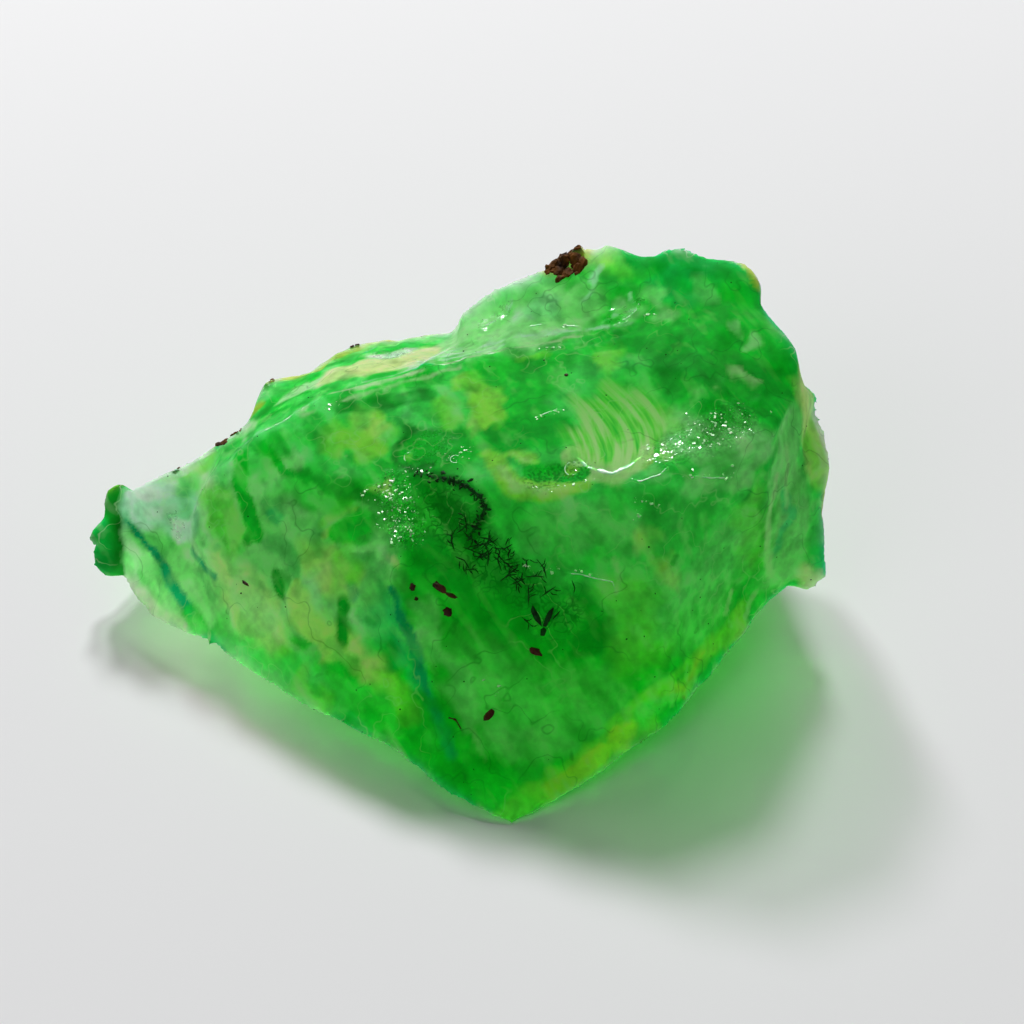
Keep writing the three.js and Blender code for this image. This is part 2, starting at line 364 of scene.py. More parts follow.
EMERALD = (0.006, 0.68, 0.036)
DEEP = (0.002, 0.37, 0.02)
DARK = (0.001, 0.17, 0.01)
JADE = (0.09, 0.95, 0.15)
SAGE = (0.42, 1, 0.37)
PALE_JADE = (0.4, 1, 0.34)
LEAF = (0.25, 0.98, 0.08)
LIME = (0.38, 1, 0.09)
STRAW = (0.75, 1, 0.26)
MINT = (0.62, 1, 0.72)
MILK = (0.68, 1, 0.48)
CREAM = (0.85, 1, 0.36)
WHITE = (1, 1, 0.9)
TEAL = (0.001, 0.34, 0.2)
SEA = (0.02, 0.7, 0.25)
YELLOW = (0.85, 1, 0.08)
OLIVE = (0.4, 0.5, 0.02)
ROSE = (0.6, 0.8, 0.45)
RUST = (0.35, 0.1, 0.005)
FOREST = (0.001, 0.12, 0.004)
BARK = (0.012, 0.05, 0.002)
SHADE = (0.002, 0.58, 0.03)
PALE_LIME = (0.55, 1, 0.33)
UMBER = (0.08, 0.025, 0.005)

# The stain of each part of the stone, with a few painted highlights, painted sheen and painted glow among the
# patches: colour, strength, reach and fade in mm, corners of the patch's path.
# Broad washes come first in each table and small spots last.
TIP = [
    (SAGE, 1, 2.2, 0.9, (-16, 1.2, 4.2), (-13.8, -0.8, 3.4)),
    (MILK, 0.9, 0.5, 0.5, (-16.9, 0.8, 2.1), (-15.5, -1.1, 1.9), (-14, -2.2, 1.6)),
    (PALE_JADE, 0.9, 0.9, 0.6, (-15.4, 2, 4.9), (-14.2, 1.4, 5)),
    (SAGE, 0.9, 0.6, 0.5, (-14.6, 3.2, 6.7), (-12.8, 3.1, 7)),
    (LEAF, 0.8, 0.4, 0.4, (-13.8, 3.8, 7.3), (-12.6, 4.3, 7.4)),
    (MINT, 1, 1.1, 0.4, (-16.6, 2.5, 5.6), (-15, 2.1, 5.8), (-13.6, 1.9, 5.9)),
    # painted sheen in white on the mint smear, and a painted highlight in white at the tip's flash
    (WHITE, 0.6, 0.15, 0.4, (-16.4, 2.6, 5.8), (-15.3, 2.5, 6)),
    (WHITE, 0.5, 0.2, 0.4, (-13.7, 2.3, 6.2)),
    (WHITE, 1, 0.22, 0.2, *TIP_FLASH),
    (STRAW, 0.7, 0.12, 0.25, (-16.9, 1.9, 3.6)),
    (UMBER, 0.9, 0.1, 0.2, (-17.5, 3.9, 6.6), (-15.8, 3.9, 7)),
    (RUST, 0.9, 0.1, 0.15, (-14.7, 4.2, 7.2)),
]
LEFT_FACE = [
    (SAGE, 1, 3.8, 1.2, (-12.4, 0.4, 6), (-8.6, -2.6, 5.4), (-6, -3.4, 6.6)),
    (LEAF, 0.85, 0.8, 0.6, (-12.2, 1.2, 7.4), (-11.5, 0.3, 6.8), (-10.8, -0.5, 6.4)),
    (MILK, 0.9, 0.9, 0.7, (-11.6, -2.2, 4.2), (-10.1, -3, 4.5), (-9.2, -4.2, 3.8)),
    (CREAM, 0.9, 1.3, 0.7, (-11.6, -1.8, 4.8), (-10, -3.4, 4.2), (-9, -4.4, 3.6)),
    (STRAW, 0.95, 0.8, 0.6, (-7, -3, 7.1), (-6, -3.4, 7.3), (-5.5, -4.2, 6.8)),
    (LIME, 0.7, 0.4, 0.4, (-6.4, -1.6, 8.5), (-5.5, -1.4, 8.9)),
    (JADE, 0.9, 0.8, 0.8, (-11, -4.2, 1.6), (-8, -6.2, 1.9), (-6, -7.4, 1.8)),
    (EMERALD, 0.8, 0.3, 0.5, (-11.6, -4, 1), (-10, -5.2, 1)),
    (EMERALD, 0.9, 0.6, 0.6, (-5.4, -7.4, 2.2), (-4.2, -8.6, 1.9), (-2.4, -10, 1.4)),
    (LEAF, 0.8, 0.3, 0.5, (-8.4, -5.6, 3)),
    (LEAF, 0.7, 0.5, 0.6, (-7.4, -6.6, 1.9), (-6.5, -7.4, 1.8)),
    (EMERALD, 0.95, 0.28, 0.3, *CLEFT),
    (DEEP, 0.7, 0.2, 0.3, (-10.1, -0.6, 7), (-9.9, -1, 6.7)),
    (JADE, 0.8, 0.15, 0.3, (-10.4, -1.2, 6.5)),
    (DEEP, 0.8, 0.2, 0.25, *NOTCH),
    (EMERALD, 0.95, 0.3, 0.35, (-5.3, -5.2, 6), (-5.4, -6.2, 4.6)),
    (STRAW, 1, 0.45, 0.35, (-7.7, -4, 5.6), (-6.9, -5.1, 4.7), (-6, -6.2, 3.8)),
    (CREAM, 0.7, 0.2, 0.3, (-7.6, -4.3, 5.4), (-6.8, -5.3, 4.6)),
    (STRAW, 1, 0.55, 0.5, (-7.2, -4.7, 5), (-5.2, -6.3, 4.4), (-3.9, -7.4, 3.9)),
    (LIME, 0.9, 0.4, 0.5, (-3.6, -7.7, 3.7), (-1.9, -9, 2.8)),
    (EMERALD, 0.9, 0.25, 0.35, (-7.4, -5.4, 3.8), (-6.6, -6.4, 3.2)),
    (DARK, 0.6, 0.15, 0.5, (-3.6, -9.2, 1.5)),
    (SEA, 0.6, 0.7, 0.6, (-3.4, -6, 6.4), (-2.7, -7.2, 4.9)),
]
UPPER_LEFT = [
    (JADE, 0.9, 1.6, 1, (-10.2, 3.2, 9), (-6.5, 2.6, 10.4), (-1, 2.6, 11.8)),
    (EMERALD, 0.9, 0.7, 0.6, (-8.2, 0.2, 8.9), (-5.5, -1, 9.3), (-3.6, -0.4, 10.3)),
    (PALE_JADE, 0.9, 0.5, 0.35, (-9.6, 1.9, 9), (-8, 1.3, 9.6)),
    (WHITE, 0.3, 0.2, 0.4, (-8.9, 1.6, 9.3)),
    (EMERALD, 0.7, 0.25, 0.35, (-9.2, 3, 9.8), (-7.2, 2.1, 10.3)),
    (SAGE, 0.9, 0.4, 0.4, (-11.5, 4.6, 8.3), (-10.4, 5.4, 8.9)),
    (LIME, 0.75, 0.6, 0.35, (-6.3, 2.6, 10.6), (-5.9, 1.9, 10.6)),
    (LIME, 1, 0.75, 0.3, (-4.7, 2.6, 11.1), (-3.9, 1.4, 10.9)),
    (STRAW, 0.35, 0.5, 0.4, (-4.2, 1.9, 11)),
    (LEAF, 0.9, 0.5, 0.4, (-0.6, 3, 12), (-0.2, 1.9, 11.8)),
    (LIME, 0.9, 0.7, 0.4, (0.7, 4.2, 12.4), (1.8, 3.4, 12.3)),
    (STRAW, 0.5, 0.45, 0.35, (0.9, 3.1, 12.2), (1.3, 2, 12), (1.1, 1.3, 11.9)),
    (EMERALD, 1, 1, 0.35, (-2, 0.6, 11.2), (-0.6, 0.5, 11.5), (0.4, 0.3, 11.6)),
    (DEEP, 0.9, 0.35, 0.3, (-2.6, 0.5, 11), (-2.4, 1.3, 11.3)),
    (DEEP, 0.8, 0.35, 0.4, (0.2, -0.2, 11.5), (-1.2, -0.4, 11.2)),
    (EMERALD, 1, 0.55, 0.2, (-5.5, -2.3, 8.2), (-4.4, -2.3, 8.7)),
    (DEEP, 0.6, 0.35, 0.3, (-4.9, -2.6, 8.3)),
    (STRAW, 0.7, 0.2, 0.25, (-3.9, -0.8, 10.1), (-3.2, -1.1, 10.2)),
    (SAGE, 0.8, 0.5, 0.4, (-8.8, 7.3, 9.4), (-7, 7, 10.4)),
    (CREAM, 0.95, 1, 0.6, (-5.9, 7.6, 10.8), (-2.8, 7.8, 11.2), (-1.3, 8.8, 11)),
    # painted highlight in white: the crescent on the pale back facet and its brightest part
    (WHITE, 0.8, 0.25, 0.35, *BACK_FLASH),
    (WHITE, 0.5, 0.15, 0.4, (-2.6, 6.8, 11.6), (-1, 7.4, 11.7)),
    (DEEP, 0.95, 0.3, 0.25, (-9.8, 8.9, 9), (-8.9, 8.9, 9.1)),
    (DEEP, 0.95, 0.3, 0.25, (-7.9, 9.6, 9.3), (-6.5, 9.4, 9.8)),
]
PLATEAU = [
    (EMERALD, 0.95, 3.6, 1.2, (9, 9.5, 14.6), (11.5, 6.5, 14.3), (15, 5.5, 14.4)),
    (PALE_JADE, 0.9, 2.2, 1.2, (0.8, 8.6, 12), (4.8, 8.8, 13.4)),
    (SAGE, 0.8, 0.5, 0.5, (-0.5, 9.6, 10.9), (-0.2, 10.6, 10.4)),
    (PALE_JADE, 0.8, 0.3, 0.4, (-0.3, 7.6, 11.9), (2.3, 7.8, 12.5), (5.4, 7.5, 13.2)),
    (MINT, 0.5, 0.15, 0.4, (-0.2, 7.9, 11.9), (1.8, 7.8, 12.3)),
    (MINT, 0.5, 0.5, 0.6, (3.4, 9.4, 12.9), (5, 9.6, 13.4)),
    (LEAF, 0.7, 0.7, 0.7, (7.5, 11.5, 15), (8.7, 11, 14.7)),
    (LIME, 0.7, 0.3, 0.5, (7.3, 11.3, 14.8)),
    (EMERALD, 0.9, 0.4, 0.4, (5.8, 10.6, 14.2)),
    (SEA, 0.5, 0.8, 0.8, (11, 9.4, 15.2), (12, 8.6, 15.1)),
    (SAGE, 0.6, 0.25, 0.5, (12.8, 9.7, 15.5), (12.4, 7.9, 15)),
    (SAGE, 0.6, 0.3, 0.5, (10, 9.1, 14.6), (10.8, 7.4, 14.5)),
    (SAGE, 0.8, 0.2, 0.35, (13.5, 6.2, 14.9), (14.1, 5.9, 14.7)),
    (SAGE, 0.8, 0.2, 0.35, (14.7, 5.2, 14.4), (15.2, 5.5, 14.3)),
    (SAGE, 0.7, 0.4, 0.4, (8.4, 8.6, 13.9), (9.4, 7.8, 14)),
    (JADE, 0.8, 0.9, 0.8, (7, 4.6, 13.2), (9, 4.2, 13.5)),
    (LEAF, 0.9, 0.35, 0.4, (7.9, 5.7, 13.5), (8.1, 4.3, 13.3)),
    (DEEP, 0.6, 0.8, 0.9, (9.8, 5.5, 13.9), (12.2, 3, 14.2), (15.1, 2.9, 13.7)),
    (DEEP, 0.6, 0.5, 0.6, (10.4, 3.2, 13.4), (13.1, 1.8, 13.9)),
    (DEEP, 0.6, 0.3, 0.6, *CREST[:4]),
    (LEAF, 0.8, 0.15, 0.25, (2.8, 5.8, 12.9), (5.9, 5.6, 13.2), (6.3, 5, 13.1)),
    (DEEP, 0.9, 0.14, 0.16, (2.9, 6.4, 13), (5.1, 6.3, 13.2)),
    (OLIVE, 0.9, 0.5, 0.4, (5, 12, 14.3), (6.4, 12, 14.8)),
    (MINT, 0.9, 0.08, 0.15, (1.2, 9.7, 12), (2, 9.8, 12.3), (2.6, 10.4, 12.5), (2.9, 11, 13)),
    (MINT, 0.9, 0.1, 0.15, (8, 7.7, 13.7), (8.7, 7.8, 13.8), (9.2, 8.2, 14.1)),
    (MINT, 0.8, 0.05, 0.12, (8.6, 9.6, 14.3), (9.3, 8.7, 14.2), (9.8, 7.9, 14.2)),
    (MINT, 0.8, 0.12, 0.2, (7, 11.1, 14.6), (6.9, 10.2, 14.3), (6.6, 9.5, 14.1)),
]
LEDGE = [
    (JADE, 0.95, 2, 0.9, (7.3, 2, 12.5), (8.6, 0.2, 12.4)),
    (EMERALD, 1, 0.6, 0.4, (2.9, 0.7, 12), (5.2, 0.3, 12.3)),
    (CREAM, 1, 0.5, 0.4, (6.2, -1.6, 12.3), (7.5, -2.3, 12.3), (9, -1.9, 12.4)),
    (WHITE, 0.4, 0.12, 0.25, (6.1, -1.5, 12.3), (7.2, -2.3, 12.3), (8, -2.8, 12.4), (9.2, -1.8, 12.5)),
    (YELLOW, 0.5, 0.15, 0.25, (8.3, -3.2, 12.4), (9.8, -2.2, 12.5)),
    (LIME, 1, 0.35, 0.35, (1.8, -0.4, 11.7), (2.8, -0.9, 11.8), (4, -1.2, 12)),
    (PALE_LIME, 0.8, 0.15, 0.3, (2.4, -0.8, 11.8), (3.8, -1.2, 12)),
    (LIME, 1, 0.35, 0.3, (2.4, -2.4, 11.3), (3.6, -2.9, 11.5), (4.9, -3.1, 11.7)),
    (STRAW, 0.5, 0.2, 0.3, (2.8, -2.8, 11.3), (4.2, -3.1, 11.5)),
    (DEEP, 1, 0.35, 0.22, (3.7, -1.9, 11.8), (5.2, -2.3, 12), (6.5, -2.8, 12.2)),
    (SAGE, 0.6, 1.2, 0.8, (10.6, 0, 12.7), (12.2, -1.4, 12.9), (14.4, -0.8, 12.6)),
    (LEAF, 0.6, 0.5, 0.6, (10, 1.4, 12.8), (10.6, 0.4, 12.8)),
    (SAGE, 0.6, 0.35, 0.5, (9.5, -3.2, 12.3), (11.9, -2.9, 11.9), (14.2, -1.8, 11.1)),
    (MILK, 0.6, 0.1, 0.4, (13.6, 2.9, 13.9), (14.6, 3, 13.8)),
    (MILK, 0.6, 0.12, 0.4, (12.9, 1.9, 13.8), (13.4, 1.4, 13.5)),
]
FRONT = [
    (JADE, 0.8, 3.4, 1.5, (3, -3.8, 10.6), (8, -4.6, 10.2), (12.4, -4, 8.6)),
    (DEEP, 0.8, 1.6, 1.2, (-0.8, -2.6, 9.8), (0.6, -4.6, 8.6), (3, -6.4, 7), (5.6, -7, 6.6)),
    (DARK, 0.7, 0.6, 0.7, (0, -2.4, 10.4), (0.6, -3.4, 9.6)),
    (DARK, 0.5, 0.5, 0.7, (1.4, -5.2, 8.3), (2.8, -5.6, 8), (4.6, -6.6, 7)),
    (DEEP, 0.9, 0.7, 0.5, (6, -7.4, 5.6), (7.2, -7, 6.2), (7.6, -7.2, 5.8)),
    (DEEP, 0.5, 0.7, 0.8, (10.2, -4.5, 10.9), (11.8, -3.2, 10.4)),
    (SAGE, 0.4, 0.8, 0.8, (4.6, -4.4, 10.2), (6.2, -4.8, 10.2), (8.4, -4.6, 10.4)),
    (SAGE, 0.35, 1.4, 1.2, (1, -8.2, 4.8), (3, -9.8, 3.4), (7, -9.2, 3.6)),
    (SAGE, 0.4, 0.8, 0.8, (2.4, -11, 2.6), (5.2, -10.7, 2.4)),
    (SAGE, 0.35, 1.8, 1.2, (9.4, -6.2, 7.2), (12, -5, 5.6), (13.4, -3.4, 7.4)),
    (LEAF, 0.6, 1.1, 0.9, (8.6, -6.4, 7.4), (9, -7.2, 4.8)),
    (LEAF, 0.5, 0.8, 0.8, (14.4, -1.8, 9.4), (14.8, -2, 6.4)),
    (SAGE, 0.8, 0.5, 0.5, (-1.4, -6.2, 7), (-0.8, -7.4, 5.7), (0.2, -8.7, 4.5), (1, -10, 3.2)),
    (EMERALD, 0.9, 0.6, 0.6, (1.2, -12.8, 0.8), (-0.6, -11.4, 1.4)),
    (LEAF, 0.8, 0.5, 0.5, (2.8, -13.7, 0.3), (3.8, -13, 0.6)),
    (LIME, 0.9, 0.6, 0.4,
     (4.2, -12.8, 0.8), (7.6, -10.4, 1.8), (10.4, -8.2, 2.6), (12.6, -5.8, 3), (14.6, -2.6, 3.4)),
    (LIME, 0.8, 0.5, 0.5, (4.8, -12.2, 0.9), (7.7, -10.6, 1.2), (9.4, -9.2, 1.6)),
    (JADE, 0.9, 0.45, 0.4, (9.2, -9, 2), (10.4, -8.3, 2.2)),
    # yellow strips along the lower right edge: yellow tone of the stone, brightened as a painted glow of
    # light through the thin edge
    (YELLOW, 1.3, 0.4, 0.3, (4.7, -12.6, 0.7), (5.6, -11.9, 1)),
    (YELLOW, 1.3, 0.36, 0.3, (6.2, -11.4, 1.1), (7.2, -10.8, 1.4)),
    (YELLOW, 1.3, 0.4, 0.3, (8.1, -9.9, 1.8), (8.5, -9.8, 1.5)),
    (YELLOW, 0.7, 0.2, 0.4, (10.8, -7.6, 2.6), (12.4, -5.9, 2.9)),
    (STRAW, 0.5, 0.3, 0.5, (9, -4.8, 10.4), (10, -5.2, 9.3), (10.4, -5.6, 8)),
    (OLIVE, 0.4, 0.15, 0.3, (9.2, -4.9, 10.2), (10.3, -5.4, 8.6)),
    (DEEP, 0.7, 0.12, 0.2, (10.6, -5.1, 9), (10.9, -5.4, 8.2)),
    (DEEP, 0.9, 0.25, 0.3, (13.9, -1.9, 11), (14, -2, 10.1)),
    (LEAF, 0.9, 0.05, 0.12, (14, -2, 10.2)),
    (RUST, 0.8, 0.12, 0.25, (11.2, -7.6, 2.1)),
    (STRAW, 0.8, 0.1, 0.2, (-3.5, -3.5, 8.4), (-3.1, -4.3, 8.2)),
    (STRAW, 0.9, 0.16, 0.14, (-2.9, -4.7, 8.2), (-2.2, -5.2, 8)),
]
BACK = [
    (JADE, 0.7, 2, 2, (-12, 7, 4), (-5, 11.6, 5), (0, 12.6, 9)),
    (LEAF, 0.5, 0.9, 1.2,
     (-9.6, 9.4, 8.4), (-4.6, 11.8, 9), (1.6, 12.4, 11.4), (7.4, 13.2, 13.8), (11.4, 12.4, 14.8)),
    (SAGE, 0.7, 1, 1.2, (-3, 12.6, 4), (2, 13.6, 6), (5, 13.8, 9)),
    (DEEP, 0.8, 1.2, 1.4, (6, 13, 3), (11, 13, 5), (14, 11.6, 8)),
    (DARK, 0.6, 0.3, 0.7, (8, 13.4, 5), (10.4, 13.4, 6.4)),
    (MILK, 0.6, 0.5, 0.8, (9, 13.5, 10), (12.6, 12.9, 10.6)),
    (TEAL, 0.8, 0.15, 0.5, (-9, 10.4, 6.6), (-6, 11, 4), (-4.6, 11.4, 1.6)),
    (TEAL, 0.8, 0.12, 0.5, (3, 13.4, 10.6), (6, 13.9, 7.6), (7.4, 13.2, 4)),
    (SAGE, 0.6, 0.6, 0.8, (17, 8.8, 8), (16, 8.4, 4)),
]
RIGHT_SIDE = [
    (PALE_JADE, 0.7, 1.2, 1, (16.6, 1.2, 11), (16.6, 0, 8.5), (16.8, -0.8, 5)),
    (JADE, 0.8, 0.5, 0.5, (18.7, 2.3, 8.2), (17.4, 1.8, 10.2)),
    (SEA, 0.8, 0.3, 0.4, (16.4, 0.1, 8.9), (16.3, -0.9, 5.8)),
    (STRAW, 0.7, 0.5, 0.5, (17.3, 3.2, 12.2), (17.9, 2.9, 10)),
    (JADE, 0.8, 0.6, 0.5, (18, 1.8, 8.9)),
    (STRAW, 0.8, 0.5, 0.5, (17.8, -0.5, 3.8), (18.2, -0.4, 2.9)),
    (OLIVE, 0.8, 0.25, 0.35,
     (17.6, 4.4, 13.2), (18.6, 3.8, 11.4), (19, 2.4, 9), (18.9, 1.8, 6), (18.7, 1.2, 3.6)),
]

# thin veins and lines, laid down after the patches
VEINS = [
    (FOREST, 1.8, 1.4, 0.5, (-18.7, 3.4, 6), (-18.9, 2.5, 4.2), (-18.7, 2.2, 2.4)),
    (DARK, 1.6, 0.8, 0.6, (-18.9, 2.6, 4), (-18.8, 2.2, 2.8)),
    (BARK, 1.5, 0.6, 0.5, (-19, 3.4, 6.2), (-18.2, 3.8, 6.8), (-17.6, 3.9, 6.8)),
    (MINT, 1.4, 0.4, 0.35, (-15.9, 2.4, 5.7), (-15, 2.2, 5.9), (-13.6, 2.3, 6)),
    # painted sheen in white on the mint smear
    (WHITE, 0.35, 0.2, 0.35, (-15.6, 2.3, 5.7), (-14.4, 2.2, 5.9)),
    (OLIVE, 1, 0.2, 0.3,
     (-17.6, 4.2, 6.9), (-15.6, 4.4, 7.2), (-13.4, 5, 7.6), (-11.5, 5.9, 8.4), (-10.2, 7.2, 8.9)),
    (OLIVE, 0.9, 0.15, 0.35,
     (-9.6, 9.2, 8.9), (-7.2, 9.8, 9.4), (-4.6, 11.6, 9.6), (-1, 12, 10), (1.6, 12, 12.2)),
    (OLIVE, 1, 0.18, 0.35, (1.6, 12.6, 12.2), (3.6, 12.6, 13.6), (7.4, 13, 14.8), (9.5, 12.8, 15.4)),
    (STRAW, 1.1, 0.9, 0.6, (18.2, 4.2, 12.4), (18.8, 3, 10.6), (18.6, 2.2, 9.2)),
    (OLIVE, 1, 0.3, 0.4, (17.8, 4.6, 13.2), (18.8, 4, 11.4), (19, 2.6, 9), (19, 2, 6), (18.9, 1.4, 3.6)),
    (TEAL, 1.5, 0.1, 0.12, (-16.8, 2.4, 5), (-15.8, 1.6, 4), (-15.2, 0.8, 3.6)),
    (TEAL, 1.4, 0.2, 0.22, (-15.5, 1.1, 3.9), (-14.6, -0.1, 3.3), (-13.4, -1.8, 2.5)),
    (EMERALD, 1, 0.34, 0.3, (-13.4, -1.8, 2.4), (-12.5, -3, 1.7)),
    (EMERALD, 0.6, 0.1, 0.2, (-16.3, 1, 2.7), (-15, -0.9, 2.4)),
    (LEAF, 0.7, 0.05, 0.12, (-16.7, 0.3, 2), (-15.5, -1.1, 1.8)),
    (TEAL, 0.9, 0.12, 0.2, (-13.3, 0.2, 4.8), (-12.1, -1.4, 4.6)),
    (EMERALD, 1.4, 0.3, 0.25, *CLEFT),
    (EMERALD, 1.3, 0.12, 0.25, (-9.6, 2.9, 9.5), (-8.4, 1.2, 9.2), (-6.8, 0.4, 9.3), (-5.4, 0.2, 9.8)),
    (DEEP, 1.2, 0.16, 0.25, *NOTCH),
    (DEEP, 1.2, 0.2, 0.3, (-5.3, -5, 6.1), (-5.4, -6.2, 4.6)),
    (STRAW, 0.9, 0.08, 0.2, (-6.3, -2.2, 7.9), (-5.7, -1.5, 8.5), (-4.8, -1.4, 8.9)),
    (EMERALD, 1.4, 0.5, 0.2, (-5.5, -2.3, 8.2), (-4.5, -2.3, 8.7)),
    (SEA, 0.9, 0.15, 0.3, (-9, -0.4, 7.8), (-8.7, -0.7, 7.8)),
    (SEA, 0.6, 0.12, 0.25, (-11.9, -0.7, 5.9)),
    (TEAL, 0.8, 0.16, 0.25, (-4.9, -4.6, 6.8), (-4.8, -5.2, 6.5)),
    (OLIVE, 0.7, 0.05, 0.12, (-10.7, -2.1, 5.1), (-10.3, -2.6, 4.9)),
    (MILK, 0.6, 0.1, 0.25, (-7.3, -4.6, 5.1), (-6.6, -5.4, 4.5)),
    (SEA, 0.6, 0.25, 0.5, (-2.9, -5.8, 6.9), (-2.6, -6.4, 6.3), (-2.2, -7.6, 5), (-1.5, -8.6, 3.9)),
    (TEAL, 1.2, 0.06, 0.2, (-2.9, -5.4, 7.3), (-2.4, -6.4, 6.4)),
    (TEAL, 1.4, 0.18, 0.24, (-2.4, -6.4, 6.4), (-1.8, -7.4, 5.4), (-1.5, -8.3, 4.3)),
    (TEAL, 1.2, 0.07, 0.22, (-1.5, -8.3, 4.3), (-1, -9.1, 3.5)),
    (DEEP, 1.4, 1, 0.8, (9.8, 11.6, 15.6), (11.4, 11, 16), (14, 10, 15.8)),
    (DARK, 0.8, 0.6, 0.9, (10.2, 11.4, 15.6), (11.4, 11, 16), (13.4, 10.2, 15.8)),
    (OLIVE, 1.4, 0.28, 0.3,
     (7.4, 13, 15.1), (9.5, 12.8, 15.9), (11.4, 12, 16.3), (14.6, 10.6, 16), (17.3, 5.6, 14.5)),
    (DEEP, 1.1, 0.35, 0.35, (-5.6, 3.9, 11.3), (-3.2, 3.8, 11.6), (-1.4, 3.8, 12)),
    (CREAM, 1.2, 0.6, 0.5, (-4.8, 7.6, 11), (-2.6, 7.6, 11.3)),
    (LIME, 1.3, 0.5, 0.35, (1.4, 3, 12.2), (2, 1.8, 12)),
    (LIME, 1.3, 0.32, 0.35, (2, -0.8, 11.7), (2.9, -2.6, 11.4), (4.4, -3.2, 11.6), (6.2, -3.2, 12)),
    (PALE_LIME, 0.9, 0.1, 0.3, (2.4, -1.4, 11.6), (3, -2.7, 11.4), (4.4, -3.2, 11.6)),
    (LIME, 1, 0.3, 0.4, (-5.4, 2, 10.7), (-4.4, 1.6, 10.8)),
    (MILK, 0.9, 0.6, 0.5, (-10.6, -2.6, 4.6), (-9.4, -3.8, 4.1)),
    (LEAF, 0.7, 0.4, 0.5, (-5.3, -3.3, 7.6), (-4.8, -4, 7)),
    (STRAW, 0.8, 0.4, 0.4, (-7.2, -4.6, 5), (-6.8, -5.2, 4.6)),
    (LEAF, 0.8, 0.5, 0.5, (18.6, 2.2, 8.2), (18, 2.6, 9.8)),
    # yellow strips along the lower right edge: yellow tone of the stone, brightened as a painted glow of
    # light through the thin edge
    (YELLOW, 1.3, 0.34, 0.25, (4.9, -12.4, 0.7), (5.9, -11.7, 0.9)),
    (YELLOW, 1.3, 0.3, 0.25, (6.5, -11.3, 1.1), (7.3, -10.7, 1.4)),
    (YELLOW, 1.3, 0.32, 0.25, (8.1, -9.9, 1.8), (8.6, -9.6, 1.7)),
    (SHADE, 1.1, 0.9, 0.35, (2.6, 0.7, 12), (5, 0.5, 12.3)),
    (SHADE, 1.1, 0.9, 0.3, (-1.7, 0.5, 11.2), (-0.2, 0.3, 11.6)),
    (EMERALD, 0.8, 0.3, 0.3, (-1.3, 0.9, 11.5), (-0.2, 0.5, 11.6)),
    (DEEP, 0.5, 0.1, 0.25, (-2.2, -6.6, 6.2), (-1.7, -7.6, 5)),
    (TEAL, 0.7, 0.12, 0.4, (-1, -9.2, 3.4), (-0.3, -10.4, 2.5), (0, -11.2, 1.8)),
    (DEEP, 0.8, 0.15, 0.3, (-1.7, -8.7, 3.4), (-0.6, -9.4, 3.4)),
    (DARK, 0.8, 0.14, 0.35, *DARK_ARC),
    (PALE_LIME, 1.4, 0.5, 0.35, *RIM),
    (MILK, 1.2, 0.12, 0.2, *RIM),
    (DARK, 1, 0.1, 0.2,
     (-2, 1.6, 11.3), (-2.8, 0.9, 11), (-2.8, 0, 10.9), (-2, -0.6, 10.9), (-1, -0.6, 11.1)),
    (EMERALD, 1.4, 0.4, 0.2, (3.9, -2, 11.8), (5.2, -2.3, 12), (6.2, -2.5, 12.1)),
    (LEAF, 1, 0.2, 0.06, EYE_BUBBLE),
    (LIME, 1, 0.3, 0.07, GRAIN_BUBBLE),
    (MILK, 0.7, 0.12, 0.2, (15.9, -0.4, 10.2), (15.6, -1.3, 8.2), (15.6, -1.4, 6.3), (15.9, -1.2, 4.5)),
    (MILK, 0.5, 0.08, 0.2, (16.4, 0.9, 11.2), (16.5, 0.2, 9.5), (16.5, -0.3, 8.2)),
    (MILK, 0.7, 0.08, 0.16, (15.2, -1.7, 3.8), (14.7, -2.6, 2.9)),
    (MILK, 0.7, 0.1, 0.16, (13.8, -2.9, 4.9), (13.5, -3.5, 4)),
    (ROSE, 0.6, 0.06, 0.15, (1, -10.5, 2.8), (1.7, -11.6, 1.9)),
    (MILK, 0.6, 0.06, 0.14, (7.7, -5.4, 9.2), (8.1, -5.7, 8.6), (7.9, -6.2, 7.8)),
    (LIME, 0.5, 0.12, 0.25, (12.2, -5.6, 3.4), (10.1, -8, 3.4), (7.7, -9.8, 2.4)),
    (ROSE, 0.85, 0.06, 0.12,
     (-7.7, 4.1, 10.8), (-6.2, 4.9, 11.2), (-4.2, 5, 11.8), (0.8, 6.2, 12.5), (6.4, 6.9, 13.4)),
    (ROSE, 0.7, 0.05, 0.12, (-7.7, 3.7, 10.7), (-4.2, 4.6, 11.7), (0.3, 5.5, 12.5)),
    (ROSE, 0.6, 0.1, 0.15, (-3.4, 4.6, 11.7)),
    (MINT, 0.7, 0.05, 0.12, (-4.6, 5.5, 11.6), (0.8, 6.9, 12.3), (6, 7.4, 13.3)),
    (MINT, 0.8, 0.05, 0.12, (-1.7, 6.5, 11.9), (0.8, 7.6, 12.2), (4, 7.6, 13), (9, 7.3, 13.8)),
]


def blended(colours, colour, share):
    return colours + share[:, None] * (np.array(colour) - colours)


